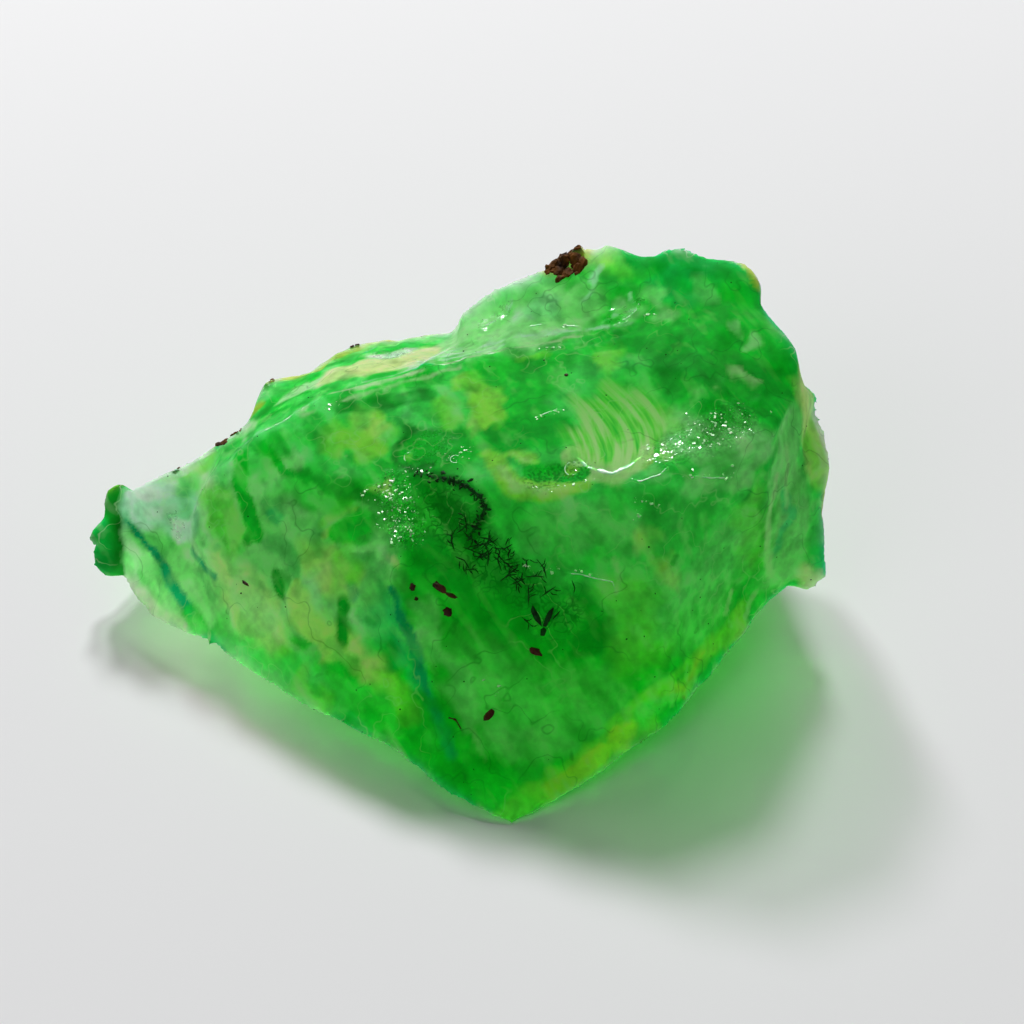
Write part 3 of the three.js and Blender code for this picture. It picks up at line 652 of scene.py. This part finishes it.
def stone_colours(points, normals):
    """The stone's stain at each point of its surface, with the painted highlights, sheen and glow of the
    tables, as linear red, green and blue.
    """
    drawn = warped(warped(points, 1.8, 0.8, 20), 0.7, 0.35, 21)
    traced = warped(warped(points, 1.1, 0.14, 26), 0.35, 0.08, 29)
    colours = np.tile(np.array(EMERALD), (len(points), 1))
    colours = blended(colours, JADE, 0.4 * eased(soft_noise(drawn, 2.6, 22), 0, 0.5))
    wash = 0.85 + 0.3 * soft_noise(drawn, 0.8, 32)
    for table in (BACK, FRONT, RIGHT_SIDE, LEFT_FACE, TIP, PLATEAU, UPPER_LEFT, LEDGE):
        for colour, strength, reach, fade, *path in table:
            share = around(drawn, path, 0.7 * reach, 0.8 * fade + 0.35 * reach) * wash
            colours = blended(colours, colour, np.clip(strength * share, 0, 1))

    # clouds and streaks of lighter and darker stone, strongest on the left
    left = 1 - eased(points[:, 0], -4, 3)
    paler = np.minimum(colours * 1.5 + np.array((0.06, 0.1, 0.05)), 1)
    deeper = colours * np.array((0.3, 0.6, 0.45))
    clouds = soft_noise(streaked(drawn), 1, 23)
    colours = blended(colours, paler, (0.2 + 0.55 * left) * eased(clouds, 0.02, 0.3))
    colours = blended(colours, deeper, (0.4 + 0.3 * left) * eased(-clouds, 0.08, 0.35))

    # facets of their own shade with pale broken edges on the hidden sides, where the veins come and go
    hidden = hidden_share(normals, 0.4)
    inside, value = scallops(points)
    edges = eased(inside, 0.12, 0.02) * eased(soft_noise(points, 1.6, 40), 0, 0.3)
    colours = blended(colours, paler, 0.35 * hidden * eased(value, 0.5, 0.9))
    colours = blended(colours, deeper, 0.45 * hidden * eased(value, 0.5, 0.1))
    colours = blended(colours, SAGE, 0.4 * hidden * edges)

    uneven = 0.85 + 0.5 * soft_noise(points, 0.7, 34)
    uneven *= 1 - 0.9 * hidden * eased(soft_noise(points, 1.1, 39), -0.15, 0.2)
    for colour, strength, reach, fade, *path in VEINS:
        share = strength * uneven * around(traced, path, reach, fade)
        colours = blended(colours, colour, np.clip(share, 0, 1))
    return colours


# places where the skin is wet and smooth, and how far from them, in mm
GLOSSY = [
    ([EYE_PIT], 1), ([GRAIN_BUBBLE], 0.1), (SPARKLES, 0.8), (WET_LEDGE, 0.7),
    ([(1.3, 9.7, 12), (2.6, 10.5, 12.6)], 0.3), ([(8, 7.7, 13.7), (9.5, 8.6, 14.2)], 0.3),
    (BACK_FLASH, 0.3), (TIP_FLASH, 0.3),
]


def stone_gloss(points, normals):
    """How wet and smooth the skin is at each point, 0 to 1; some of the hidden facets shine too."""
    gloss = 0.55 * hidden_share(normals, 0.45) * eased(scallops(points)[1], 0.55, 0.75)
    for path, reach in GLOSSY:
        gloss = np.maximum(gloss, around(points, path, reach, 0.5))
    return gloss


# share of the lamps' light that each crossing of the skin lets through: in most of the stone, then towards
# either end and the top (tint, axis, where it starts and where it is full, in mm), and in the dark toe
BODY_TINT = (0.48, 0.58, 0.45)
END_TINTS = [
    ((0.9, 0.68, 0.84), 0, -3, -12),
    ((0.66, 0.6, 0.64), 0, -13, -17),
    ((0.8, 0.66, 0.78), 0, 13, 17),
    ((0.62, 0.68, 0.62), 2, 11.5, 15),
]
TOE_TINT = (0.1, 0.35, 0.12)
TOE = [(0, -12, 0.5), (3, -13.5, 0.2), (10, -8, 1.5)]


def lamp_tint(points):
    tint = np.tile(np.array(BODY_TINT), (len(points), 1))
    for colour, axis, start, full in END_TINTS:
        tint = blended(tint, colour, eased(points[:, axis], start, full))
    return blended(tint, TOE_TINT, around(points, TOE, 1.5, 2.2))


# where the skin is grainy: share, path, reach and fade in mm
GRAINY = [
    (1, [(4.1, -2.4, 11.8), (6, -2.3, 12)], 0.5, 0.4),
    (1, SPARKLES, 0.5, 0.7),
    (0.6, WET_LEDGE, 0.9, 0.7),
]
FAN_CENTRE, FAN_RADII = (8.1, 0.3, 12.4), (2.9, 3.7, 2.6)


def write_colours(mesh, name, colours, alpha=1):
    layer = mesh.color_attributes.new(name, "FLOAT_COLOR", "POINT")
    rgba = np.empty((len(colours), 4), np.float32)
    rgba[:, :3] = colours
    rgba[:, 3] = alpha
    layer.data.foreach_set("color", rgba.ravel())


def write_places(mesh, name, places):
    layer = mesh.attributes.new(name, "FLOAT_VECTOR", "POINT")
    layer.data.foreach_set("vector", places.astype(np.float32).ravel())


def paint_stone(mesh):
    """All that the shader reads: stain with painted highlights, sheen and glow, marks (grain, gloss, dark
    heart, fan), fan place and lamp tint.
    """
    points, normals = read_skin(mesh)
    write_colours(mesh, "stain_and_painted_light", stone_colours(points, normals))
    grain = np.zeros(len(points))
    for share, path, reach, fade in GRAINY:
        grain = np.maximum(grain, share * around(points, path, reach, fade))
    heart = around(warped(points, 1.2, 0.5, 35), HEART, 0.3, 1.3)
    fan = eased(dome(warped(points, 1.4, 0.9, 37), FAN_CENTRE, FAN_RADII), 0, 0.6)
    write_colours(mesh, "marks", np.stack((grain, stone_gloss(points, normals), heart), axis=1), fan)
    write_places(mesh, "fan_place", fan_place(points))
    write_colours(mesh, "let_through", lamp_tint(points))


# ---------------------------------------------------------------- materials

class Nodes:
    """Short calls to build one material's node tree."""

    def __init__(self, name):
        self.material = bpy.data.materials.new(name)
        self.material.use_nodes = True
        self.tree = self.material.node_tree
        self.shader = self.tree.nodes["Principled BSDF"]
        self.output = self.tree.nodes["Material Output"]

    def add(self, kind, inputs=(), **settings):
        node = self.tree.nodes.new("ShaderNode" + kind)
        for key, value in settings.items():
            setattr(node, key, value)
        for key, value in dict(inputs).items():
            self.feed(node.inputs[key], value)
        return node

    def feed(self, socket, value):
        if isinstance(value, bpy.types.NodeSocket):
            self.tree.links.new(value, socket)
        else:
            socket.default_value = value

    def painted(self, name, output="Color"):
        """What paint_stone wrote on the mesh under the name."""
        return self.add("Attribute", attribute_name=name).outputs[output]

    def noise(self, vector, scale, detail):
        return self.add("TexNoise", {"Vector": vector, "Scale": scale, "Detail": detail}).outputs["Fac"]

    def ramp(self, value, low, high, at_low, at_high):
        """The value's range low to high turned into at_low to at_high."""
        places = {"Value": value, "From Min": low, "From Max": high, "To Min": at_low, "To Max": at_high}
        return self.add("MapRange", places).outputs[0]

    def math(self, operation, one, other=0):
        return self.add("Math", {0: one, 1: other}, operation=operation).outputs[0]

    def times(self, one, other):
        return self.math("MULTIPLY", one, other)

    def vector(self, operation, inputs, output=0):
        return self.add("VectorMath", inputs, operation=operation).outputs[output]

    def line(self, place, scale, detail):
        """How far a soft field is from its middle value, which it crosses along thin winding lines."""
        return self.math("ABSOLUTE", self.math("SUBTRACT", self.noise(place, scale, detail), 0.5))

    def mixed(self, colour, other, share):
        """The colour with a share of another, fixed one."""
        mix = self.add("Mix", data_type="RGBA")
        self.feed(mix.inputs["Factor"], share)
        self.feed(mix.inputs[6], colour)
        self.feed(mix.inputs[7], (*other, 1))
        return mix.outputs[2]

    def bump(self, height, depth, strength):
        return self.add("Bump", {"Strength": strength, "Distance": depth, "Height": height}).outputs[0]

    def set(self, **values):
        for key, value in values.items():
            self.feed(self.shader.inputs[key.replace("_", " ")], value)


# scale of each noise, in waves per metre
MOTTLE, STREAKS, SEAM_PATCHES, GRAINS, FINE, WET = 1500, 1100, 240, 6500, 5200, 3800
FAN_STROKES = 2.6
SEAMS = [(DARK, 420, 0.012, 0.45), (MILK, 560, 0.014, 0.25)]
NEEDLE_NETS = [(1200, 0.03), (2300, 0.05)]
ALONG_GRAIN = 0.8


def stone_colour_nodes(made, place, grain, heart, fan):
    """The base colour: the stain with its painted highlights, sheen and glow, and fine mottle, streaks,
    strokes, seams, needles and grains.
    """
    stain_and_painted_light = made.painted("stain_and_painted_light")
    mottle = made.noise(place, MOTTLE, detail=3)
    along = made.vector("DOT_PRODUCT", {0: place, 1: GRAIN}, "Value")
    squeeze = made.vector("SCALE", {0: GRAIN, "Scale": along})
    squeeze = made.vector("SCALE", {0: squeeze, "Scale": ALONG_GRAIN})
    streak = made.noise(made.vector("SUBTRACT", {0: place, 1: squeeze}), STREAKS, detail=2)
    light = made.times(made.ramp(mottle, 0.3, 0.7, 0.76, 1.2), made.ramp(streak, 0.3, 0.7, 0.78, 1.2))
    colour = made.vector("MULTIPLY", {0: stain_and_painted_light, 1: light})
    paleness = made.add("SeparateColor", {"Color": stain_and_painted_light}).outputs[1]
    colour = made.mixed(colour, MILK, made.times(paleness, made.ramp(streak, 0.55, 0.75, 0, 0.35)))

    strokes = made.noise(made.painted("fan_place", "Vector"), FAN_STROKES, detail=2)
    colour = made.mixed(colour, LEAF, made.times(fan, 0.75))
    colour = made.mixed(colour, PALE_LIME, made.times(fan, made.ramp(strokes, 0.46, 0.6, 0, 1)))
    colour = made.mixed(colour, EMERALD, made.times(fan, made.ramp(strokes, 0.47, 0.36, 0, 0.8)))

    # dark and milky seams of healed cracks, in places
    patches = made.noise(place, SEAM_PATCHES, detail=0)
    for seam, scale, width, most in SEAMS:
        line = made.ramp(made.line(place, scale, detail=2), width, 0, 0, most)
        colour = made.mixed(colour, seam, made.times(made.ramp(patches, 0.48, 0.6, 0, 1), line))
        patches = made.math("SUBTRACT", 1, patches)

    # nets of fine dark needles in the dark heart
    for scale, width in NEEDLE_NETS:
        line = made.ramp(made.line(place, scale, detail=1), width, 0.4 * width, 0, 0.85)
        colour = made.mixed(colour, DARK, made.times(heart, line))

    grains = made.ramp(made.noise(place, GRAINS, detail=0), 0.48, 0.6, 0, 0.55)
    return made.mixed(colour, DARK, made.times(grain, grains))


def stone_material():
    """Clear green crystal: transmission with absorption, milky inside, dull with wet patches outside."""
    made = Nodes("fluorite")
    place = made.add("TexCoord").outputs["Object"]
    marks = made.add("Attribute", attribute_name="marks")
    grain, glossy, heart = made.add("SeparateColor", {"Color": marks.outputs["Color"]}).outputs
    colour = stone_colour_nodes(made, place, grain, heart, marks.outputs["Alpha"])

    wet = made.ramp(made.noise(place, WET, detail=1), 0.45, 0.58, 0, 1)
    gloss = made.times(wet, glossy)
    roughness = made.ramp(gloss, 0, 1, 0.77, 0.2)
    coat = made.ramp(gloss, 0, 1, 0, 0.9)
    bump = made.bump(made.noise(place, FINE, detail=1), 0.06 * MM, made.ramp(grain, 0, 1, 0.08, 1))

    made.set(Base_Color=colour, Roughness=roughness, Normal=bump, Coat_Normal=bump, Coat_Weight=coat)
    made.set(IOR=1.434, Specular_IOR_Level=0, Specular_Tint=(0.1, 0.4, 0.15, 1), Transmission_Weight=0.5)
    made.set(Coat_Roughness=0.05, Coat_IOR=1.434)
    made.set(Subsurface_Weight=1, Subsurface_Radius=(0.7, 1, 0.75), Subsurface_Scale=9 * MM)

    absorb = made.add("VolumeAbsorption", {"Color": (0.42, 0.8, 0.38, 1), "Density": 200})
    made.feed(made.output.inputs["Volume"], absorb.outputs[0])
    # the lamps' light passes through the skin, tinted
    lamp_ray = made.add("LightPath").outputs["Is Shadow Ray"]
    clear = made.add("BsdfTransparent", {"Color": made.painted("let_through")}).outputs[0]
    mix = made.add("MixShader", {0: lamp_ray, 1: made.shader.outputs[0], 2: clear}).outputs[0]
    made.feed(made.output.inputs["Surface"], mix)
    return made.material


def mineral_material(name, dark, light, scale, roughness, shine):
    """A mottled opaque mineral, from dark to light in blotches."""
    made = Nodes(name)
    blotches = made.noise(made.add("TexCoord").outputs["Object"], scale, detail=3)
    colour = made.mixed((*dark, 1), light, made.ramp(blotches, 0.35, 0.65, 0, 1))
    bump = made.bump(blotches, 0.05 * MM, 0.6)
    made.set(Base_Color=colour, Roughness=roughness, Normal=bump, Specular_IOR_Level=shine)
    return made.material


def add_stone():
    stone = stone_mesh()
    paint_stone(stone.data)
    stone.data.materials.clear()
    stone.data.materials.append(stone_material())
    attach(stone, "root")
    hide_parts("fluorite")
    return stone


# ---------------------------------------------------------------- crystals and earth in and on the stone

def skin_of(stone):
    """A lookup from a place in mm to the nearest place on the stone's skin and the outward normal there."""
    tree = BVHTree.FromObject(stone, bpy.context.evaluated_depsgraph_get())

    def landed(place):
        found, normal, _, _ = tree.find_nearest(Vector(place) * MM)
        return found / MM, normal

    return landed


def skin_frame(normal, turn):
    """Directions on the skin: along, turned by so many degrees from +X, across it, and out."""
    along = (Vector((1, 0, 0)) - normal * normal.x).normalized()
    along.rotate(Matrix.Rotation(math.radians(turn), 3, normal))
    return along, normal.cross(along), normal


def along_path(path, share):
    """The point at share, 0 to 1, of the way along the path's corners."""
    whole = share * (len(path) - 1)
    start = min(int(whole), len(path) - 2)
    return Vector(path[start]).lerp(Vector(path[start + 1]), whole - start)


def posed(place, directions, size):
    """The matrix that stretches a shape to size along the three directions and moves it to the place."""
    turned = Matrix(directions).transposed().to_4x4()
    return Matrix.Translation(place) @ turned @ Matrix.Diagonal((*size, 1))


LUMPINESS = 0.25


def add_lump(bm, place, directions, size, rng, detail=1):
    """A broken crystal or crumb: a ball of the size along each direction, with its corners moved."""
    pose = posed(place, directions, [0.5 * side for side in size])
    for vert in bmesh.ops.create_icosphere(bm, subdivisions=detail, radius=1)["verts"]:
        vert.co = pose @ (vert.co * (1 + rng.uniform(-LUMPINESS, LUMPINESS)))


def add_crumb(bm, landed, place, lengths, widths, height, rng, detail=1):
    """A lump on the skin, turned anyhow: the lengths are in mm, the widths and height are shares of that."""
    at, normal = landed(place)
    size = rng.uniform(*lengths) * np.array((1, rng.uniform(*widths), height))
    add_lump(bm, at, skin_frame(normal, rng.uniform(0, 180)), size, rng, detail=detail)


def add_tablet(bm, place, directions, size, rng):
    """A small flat-faced crystal: a box of the size along each direction, with its corners moved."""
    pose = posed(place, directions, size)
    for vert in bmesh.ops.create_cube(bm, size=1)["verts"]:
        vert.co = pose @ (vert.co + Vector((*rng.uniform(-0.12, 0.12, 2), 0)))


STRIP_STEP = 0.12
STRIP_SIDES = 6


def add_strip(bm, landed, path, width, height, rng, sink=0.3):
    """A thin ragged vein laid along the skin through the corners of path, tapered to nothing at both ends."""
    corners = [Vector(corner) for corner in path]
    length = sum((b - a).length for a, b in zip(corners, corners[1:]))
    count = max(6, int(length / STRIP_STEP))
    middle = [along_path(corners, i / count) for i in range(count + 1)]
    rings = []
    for i, point in enumerate(middle):
        place, normal = landed(point)
        ahead = middle[min(i + 1, count)] - middle[max(i - 1, 0)]
        side = ahead.cross(normal).normalized()
        taper = math.sin(math.pi * (0.04 + 0.92 * i / count)) ** 0.6 * rng.uniform(0.6, 1.25)
        across, out = side * (0.5 * width * taper), normal * (0.5 * height * taper)
        place = place - normal * height * sink
        turns = [math.tau * k / STRIP_SIDES for k in range(STRIP_SIDES)]
        rings.append([bm.verts.new(place + across * math.cos(t) + out * math.sin(t)) for t in turns])
    for one, other in zip(rings, rings[1:]):
        for i in range(STRIP_SIDES):
            after = (i + 1) % STRIP_SIDES
            bm.faces.new((one[i], one[after], other[after], other[i]))
    bm.faces.new(rings[0][::-1])
    bm.faces.new(rings[-1])


def finished(name, bm, material, smooth=False):
    """The object of a bmesh that was built in mm."""
    bmesh.ops.recalc_face_normals(bm, faces=bm.faces)
    bmesh.ops.scale(bm, vec=(MM, MM, MM), verts=bm.verts)
    mesh = bpy.data.meshes.new(name)
    bm.to_mesh(mesh)
    bm.free()
    mesh.polygons.foreach_set("use_smooth", [smooth] * len(mesh.polygons))
    mesh.materials.append(material)
    piece = linked(name, mesh)
    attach(piece, "root")
    return piece


# place, size along, across and out, and turn in degrees
BROWN_SPECKS = [
    ((-0.6, -5.6, 7.6), (0.85, 0.35, 0.25), -35),
    ((0, -5.9, 7.3), (0.6, 0.22, 0.2), -25),
    ((-0.2, -6.4, 6.7), (0.5, 0.42, 0.25), -50),
    ((-1.9, -5.6, 7.6), (0.32, 0.4, 0.25), 0),
    ((-1.7, -6, 7.2), (0.2, 0.2, 0.15), 0),
    ((1.8, -10.1, 3.4), (0.75, 0.4, 0.3), 35),
    ((5.6, 4.2, 13), (0.22, 0.18, 0.15), 0),
    ((-10.4, -2.4, 5), (0.5, 0.16, 0.15), -30),
    ((4, -7.8, 5.4), (0.7, 0.38, 0.3), -25),
    ((-1, 12.8, 7), (0.9, 0.5, 0.3), 20),
    ((10.4, 13.4, 6), (0.7, 0.4, 0.3), -40),
    ((-7.4, 11.2, 5), (0.5, 0.35, 0.25), 10),
]
BLACK_BLADES = [
    ((4.05, -6.7, 6.8), (1.2, 0.32, 0.2), -62),
    ((4.65, -6.8, 6.7), (1.2, 0.3, 0.2), 66),
    ((4.4, -7.1, 6.1), (0.5, 0.34, 0.2), 80),
    ((3.4, -5.6, 8), (0.8, 0.1, 0.1), -50),
    ((5, -7, 6.9), (0.7, 0.09, 0.1), 50),
]
BROWN_CRACK = [(-0.3, -10, 3.2), (0.2, -10.1, 3.1), (0.6, -10.6, 2.6)]
BLACK_THREAD = [(5.7, -5.9, 8.6), (5.9, -6.2, 8), (5.8, -6.5, 7.3)]
ARC_GRAINS = 110
TWIGS = 30
TWIG_TURNS = [40, -40, 10, 95]
TWIG_WIDTH = 0.085
PEPPER_GRAINS = 260


def add_twig(bm, landed, start, turn, length, width, rng):
    """A thin dark needle grown along the skin, with shorter ones branching off it."""
    place, normal = landed(start)
    along, across, _ = skin_frame(normal, turn)
    bend = across * rng.uniform(-0.2, 0.2) * length
    path = [place, place + along * 0.5 * length + bend, place + along * length]
    add_strip(bm, landed, path, width, 0.6 * width, rng, sink=0.1)
    if length > 0.5:
        for share in (0.35, 0.6, 0.8):
            side = turn + rng.choice([-50, 50]) + rng.normal(0, 8)
            add_twig(bm, landed, place + along * share * length, side, 0.45 * length, 0.8 * width, rng)


def add_dark_crystals(landed, material):
    """The dark cluster at the front's skin: an arc of grains, blades and branching needles."""
    rng = np.random.default_rng(4)
    bm = bmesh.new()
    for place, size, turn in BLACK_BLADES:
        at, normal = landed(place)
        add_lump(bm, at - normal * 0.02, skin_frame(normal, turn), size, rng)
    add_strip(bm, landed, DARK_ARC, 0.26, 0.12, rng)
    add_strip(bm, landed, BLACK_THREAD, 0.07, 0.06, rng)
    for _ in range(ARC_GRAINS):
        at, normal = landed(along_path(DARK_ARC, rng.uniform()) + Vector(rng.normal(0, 0.16, 3)))
        size = rng.uniform(0.1, 0.3) * np.array((1, 0.5, 0.4))
        add_lump(bm, at, skin_frame(normal, rng.uniform(0, 180)), size, rng)
    for _ in range(TWIGS):
        start = along_path(HEART[1:4], rng.uniform() ** 1.3) + Vector(rng.normal(0, 0.55, 3))
        turn = rng.choice(TWIG_TURNS) + rng.normal(0, 10)
        add_twig(bm, landed, start, turn, rng.uniform(0.5, 1.1), TWIG_WIDTH, rng)
    return finished("dark_crystals", bm, material)


def add_brown_specks(landed, material):
    rng = np.random.default_rng(5)
    bm = bmesh.new()
    for place, size, turn in BROWN_SPECKS:
        at, normal = landed(place)
        add_lump(bm, at, skin_frame(normal, turn), size, rng, detail=2)
    add_strip(bm, landed, BROWN_CRACK, 0.14, 0.1, rng)
    return finished("brown_specks", bm, material)


def add_pepper(stone, landed, material):
    """Tiny dark grains strewn all over the skin but its foot."""
    rng = np.random.default_rng(6)
    points = read_vectors(stone.data, "co") / MM
    bm = bmesh.new()
    for index in rng.choice(len(points), PEPPER_GRAINS, replace=False):
        if points[index][2] >= 0.4:
            add_crumb(bm, landed, points[index], (0.04, 0.11), (0.5, 1), 0.6, rng)
    return finished("dark_grains", bm, material)


# path, count and spread of the little white crystals
SUGAR = [
    (SPARKLES, 200, 0.6),
    ([(3.4, -5.2, 8.6), (4.5, -5.7, 8.7), (5.2, -5.8, 8.9), (7, -5.9, 8.6)], 34, 0.06),
    (WET_LEDGE, 170, 0.6),
    ([(11.2, -3.1, 12.5), (12.8, -2.4, 11.7), (14.2, -1.7, 11.5)], 34, 0.12),
    ([(-0.6, -0.4, 11.3), (0.9, 0, 11.6)], 22, 0.2),
    ([(-2.5, -0.4, 10.8), (-1.2, -1, 11)], 16, 0.15),
    ([(-6.7, 3.9, 11.1), (-5.7, 3.9, 11.3)], 18, 0.12),
    ([(4, 1.3, 12.4), (4.6, 1.7, 12.5), (5.4, 1.9, 12.6)], 16, 0.08),
    ([(8.6, -4.1, 11.8), (9.9, -4.2, 11.6)], 16, 0.15),
    ([(8.5, -4.3, 11.4), (9.3, -4.7, 10.7)], 10, 0.15),
    ([(3.8, -3, 11.7), (5.2, -3.2, 11.8), (6.6, -3, 12)], 24, 0.12),
    ([(4, 6.2, 13.1), (5.4, 6.2, 13.2)], 14, 0.08),
    ([(1.7, -8.9, 4.6), (2.4, -9.4, 4.1)], 14, 0.25),
    ([(-4.5, -1, 9.6), (-4.1, -0.9, 9.8)], 8, 0.1),
    ([(9.6, 7.7, 14.1), (10.2, 7.6, 14.3)], 10, 0.08),
    ([(5.5, 8, 13.2), (6.4, 7.7, 13.4)], 10, 0.08),
    ([(5, 14, 7.4), (8, 13.8, 8), (9.4, 13.6, 7.4)], 90, 0.5),
    ([(14, 12, 5.4), (15.6, 10.6, 8)], 40, 0.4),
]
# path, width and height of the clear healed cracks that stand out as bright lines
HEALED = [
    (RIM, 0.3, 0.12),
    ([(-6, 12, 8.4), (-3, 12.6, 7.2), (0, 13.2, 6.6), (3, 13.8, 6.2)], 0.12, 0.1),
    ([(12, 13, 12), (14.6, 11.6, 10.4), (16, 10.4, 8)], 0.12, 0.1),
    ([(8.3, -3.1, 12.5), (9, -3.5, 12.5), (9.9, -3.2, 12.6), (10.5, -2.6, 12.8)], 0.13, 0.12),
    ([(11.4, -3, 12.4), (12.4, -2.6, 11.9), (13.5, -2.1, 11.5)], 0.1, 0.1),
    ([(4.2, -5.6, 8.7), (6.2, -5.8, 8.6), (7.7, -6, 8.3), (8, -6.4, 7.6)], 0.08, 0.08),
    ([(1.3, 9.7, 12), (2, 9.7, 12.3), (2.5, 10.3, 12.4), (2.8, 10.8, 12.9)], 0.1, 0.08),
    ([(8, 7.7, 13.7), (8.7, 7.8, 13.8), (9.2, 8.2, 14.1), (9.5, 8.9, 14.3)], 0.09, 0.07),
    ([(-4.2, 9.7, 10.4), (-3.6, 8.7, 10.9), (-3, 8.8, 10.9), (-2.6, 9.8, 10.5)], 0.12, 0.08),
    ([(2.8, 11.7, 13.3), (3.6, 11.4, 13.6)], 0.1, 0.08),
    ([(3.7, 8.3, 13), (4.6, 8.4, 13.1)], 0.14, 0.1),
    ([(5.4, 8.1, 13.2), (6.5, 7.7, 13.4)], 0.12, 0.1),
    ([(4, 1.4, 12.4), (4.8, 1.8, 12.5), (5.4, 1.9, 12.6)], 0.1, 0.1),
]
UP = Vector((0, 0, 1))


def add_sugar(landed, material):
    """Little white crystals in pits, on the ledge and along cracks; their flat tops share one cleavage."""
    rng = np.random.default_rng(8)
    bm = bmesh.new()
    for path, count, spread in SUGAR:
        for _ in range(count):
            at, normal = landed(along_path(path, rng.uniform()) + Vector(rng.normal(0, spread, 3)))
            size = (0.03 + 0.16 * rng.uniform() ** 4) * np.array((1, rng.uniform(0.25, 0.8), 0.5))
            flash = (UP + 0.2 * normal + Vector(rng.normal(0, 0.16, 3))).normalized()
            add_tablet(bm, at, skin_frame(flash, rng.uniform(0, 180)), size, rng)
    return finished("white_crystals", bm, material)


# centre and radius of each bubble's bright ring
RINGS = [(GRAIN_BUBBLE, 0.4), (EYE_BUBBLE, 0.3), ((0.1, -0.5, 11.5), 0.26)]


def ring(centre, radius):
    """A circle of corners, nearly closed, level about the centre."""
    turns = [math.radians(angle) for angle in range(0, 360, 30)]
    return [(centre[0] + radius * math.cos(t), centre[1] + radius * math.sin(t), centre[2]) for t in turns]


def add_healed_cracks(landed, material):
    rng = np.random.default_rng(9)
    bm = bmesh.new()
    for path, width, height in HEALED:
        add_strip(bm, landed, path, width, height, rng)
    for centre, radius in RINGS:
        add_strip(bm, landed, ring(centre, radius), 0.07, 0.06, rng)
    return finished("healed_cracks", bm, material, smooth=True)


CRUST, CRUST_REACH, CRUST_CRUMBS = (5.7, 11.9, 14.5), (0.95, 0.9, 0.5), 46
EARTH_SPOTS = [(-11.9, 5.2, 8.1), (-11.5, 5.7, 8.3), (-9.8, 9.3, 8.6), (-5.5, 11.8, 9.4), (-14.6, 4.3, 7.2)]
SPOT_CRUMBS = 7


def add_crust(landed, material):
    """Crumbs of the brown rock that the crystal grew on, left on the top edge."""
    rng = np.random.default_rng(7)
    bm = bmesh.new()
    for _ in range(CRUST_CRUMBS):
        place = Vector(CRUST) + Vector(rng.uniform(-1, 1, 3) * CRUST_REACH)
        add_crumb(bm, landed, place, (0.35, 0.8), (0.6, 1), 0.5, rng, detail=2)
    for spot in EARTH_SPOTS:
        for _ in range(SPOT_CRUMBS):
            place = Vector(spot) + Vector(rng.normal(0, 0.18, 3))
            add_crumb(bm, landed, place, (0.12, 0.35), (0.6, 1), 0.5, rng, detail=2)
    return finished("brown_crust", bm, material)


# dark and light colour of each mineral, scale of its blotches in waves per metre, roughness and shine
MINERALS = {
    "dark_mineral": ((0.003, 0.02, 0.003), (0.004, 0.09, 0.008), 3000, 0.6, 0.1),
    "brown_mineral": ((0.02, 0.004, 0.001), (0.08, 0.015, 0.003), 3000, 0.5, 0.2),
    "brown_rock": ((0.03, 0.01, 0.001), (0.2, 0.07, 0.006), 1600, 0.8, 0.2),
    "white_mineral": ((0.3, 0.8, 0.3), (0.72, 1, 0.62), 3000, 0.25, 0.5),
    "pale_mineral": ((0.25, 0.85, 0.35), (0.75, 1, 0.75), 2500, 0.3, 0.5),
}

add_camera()
add_floor()
add_world()
for light in LIGHTS:
    add_light(*light)
stone = add_stone()
landed = skin_of(stone)
minerals = {name: mineral_material(name, *look) for name, look in MINERALS.items()}
add_dark_crystals(landed, minerals["dark_mineral"])
add_brown_specks(landed, minerals["brown_mineral"])
add_pepper(stone, landed, minerals["dark_mineral"])
add_crust(landed, minerals["brown_rock"])
add_sugar(landed, minerals["white_mineral"])
add_healed_cracks(landed, minerals["pale_mineral"])


def corners(box):
    return [list(corner) for corner in box]
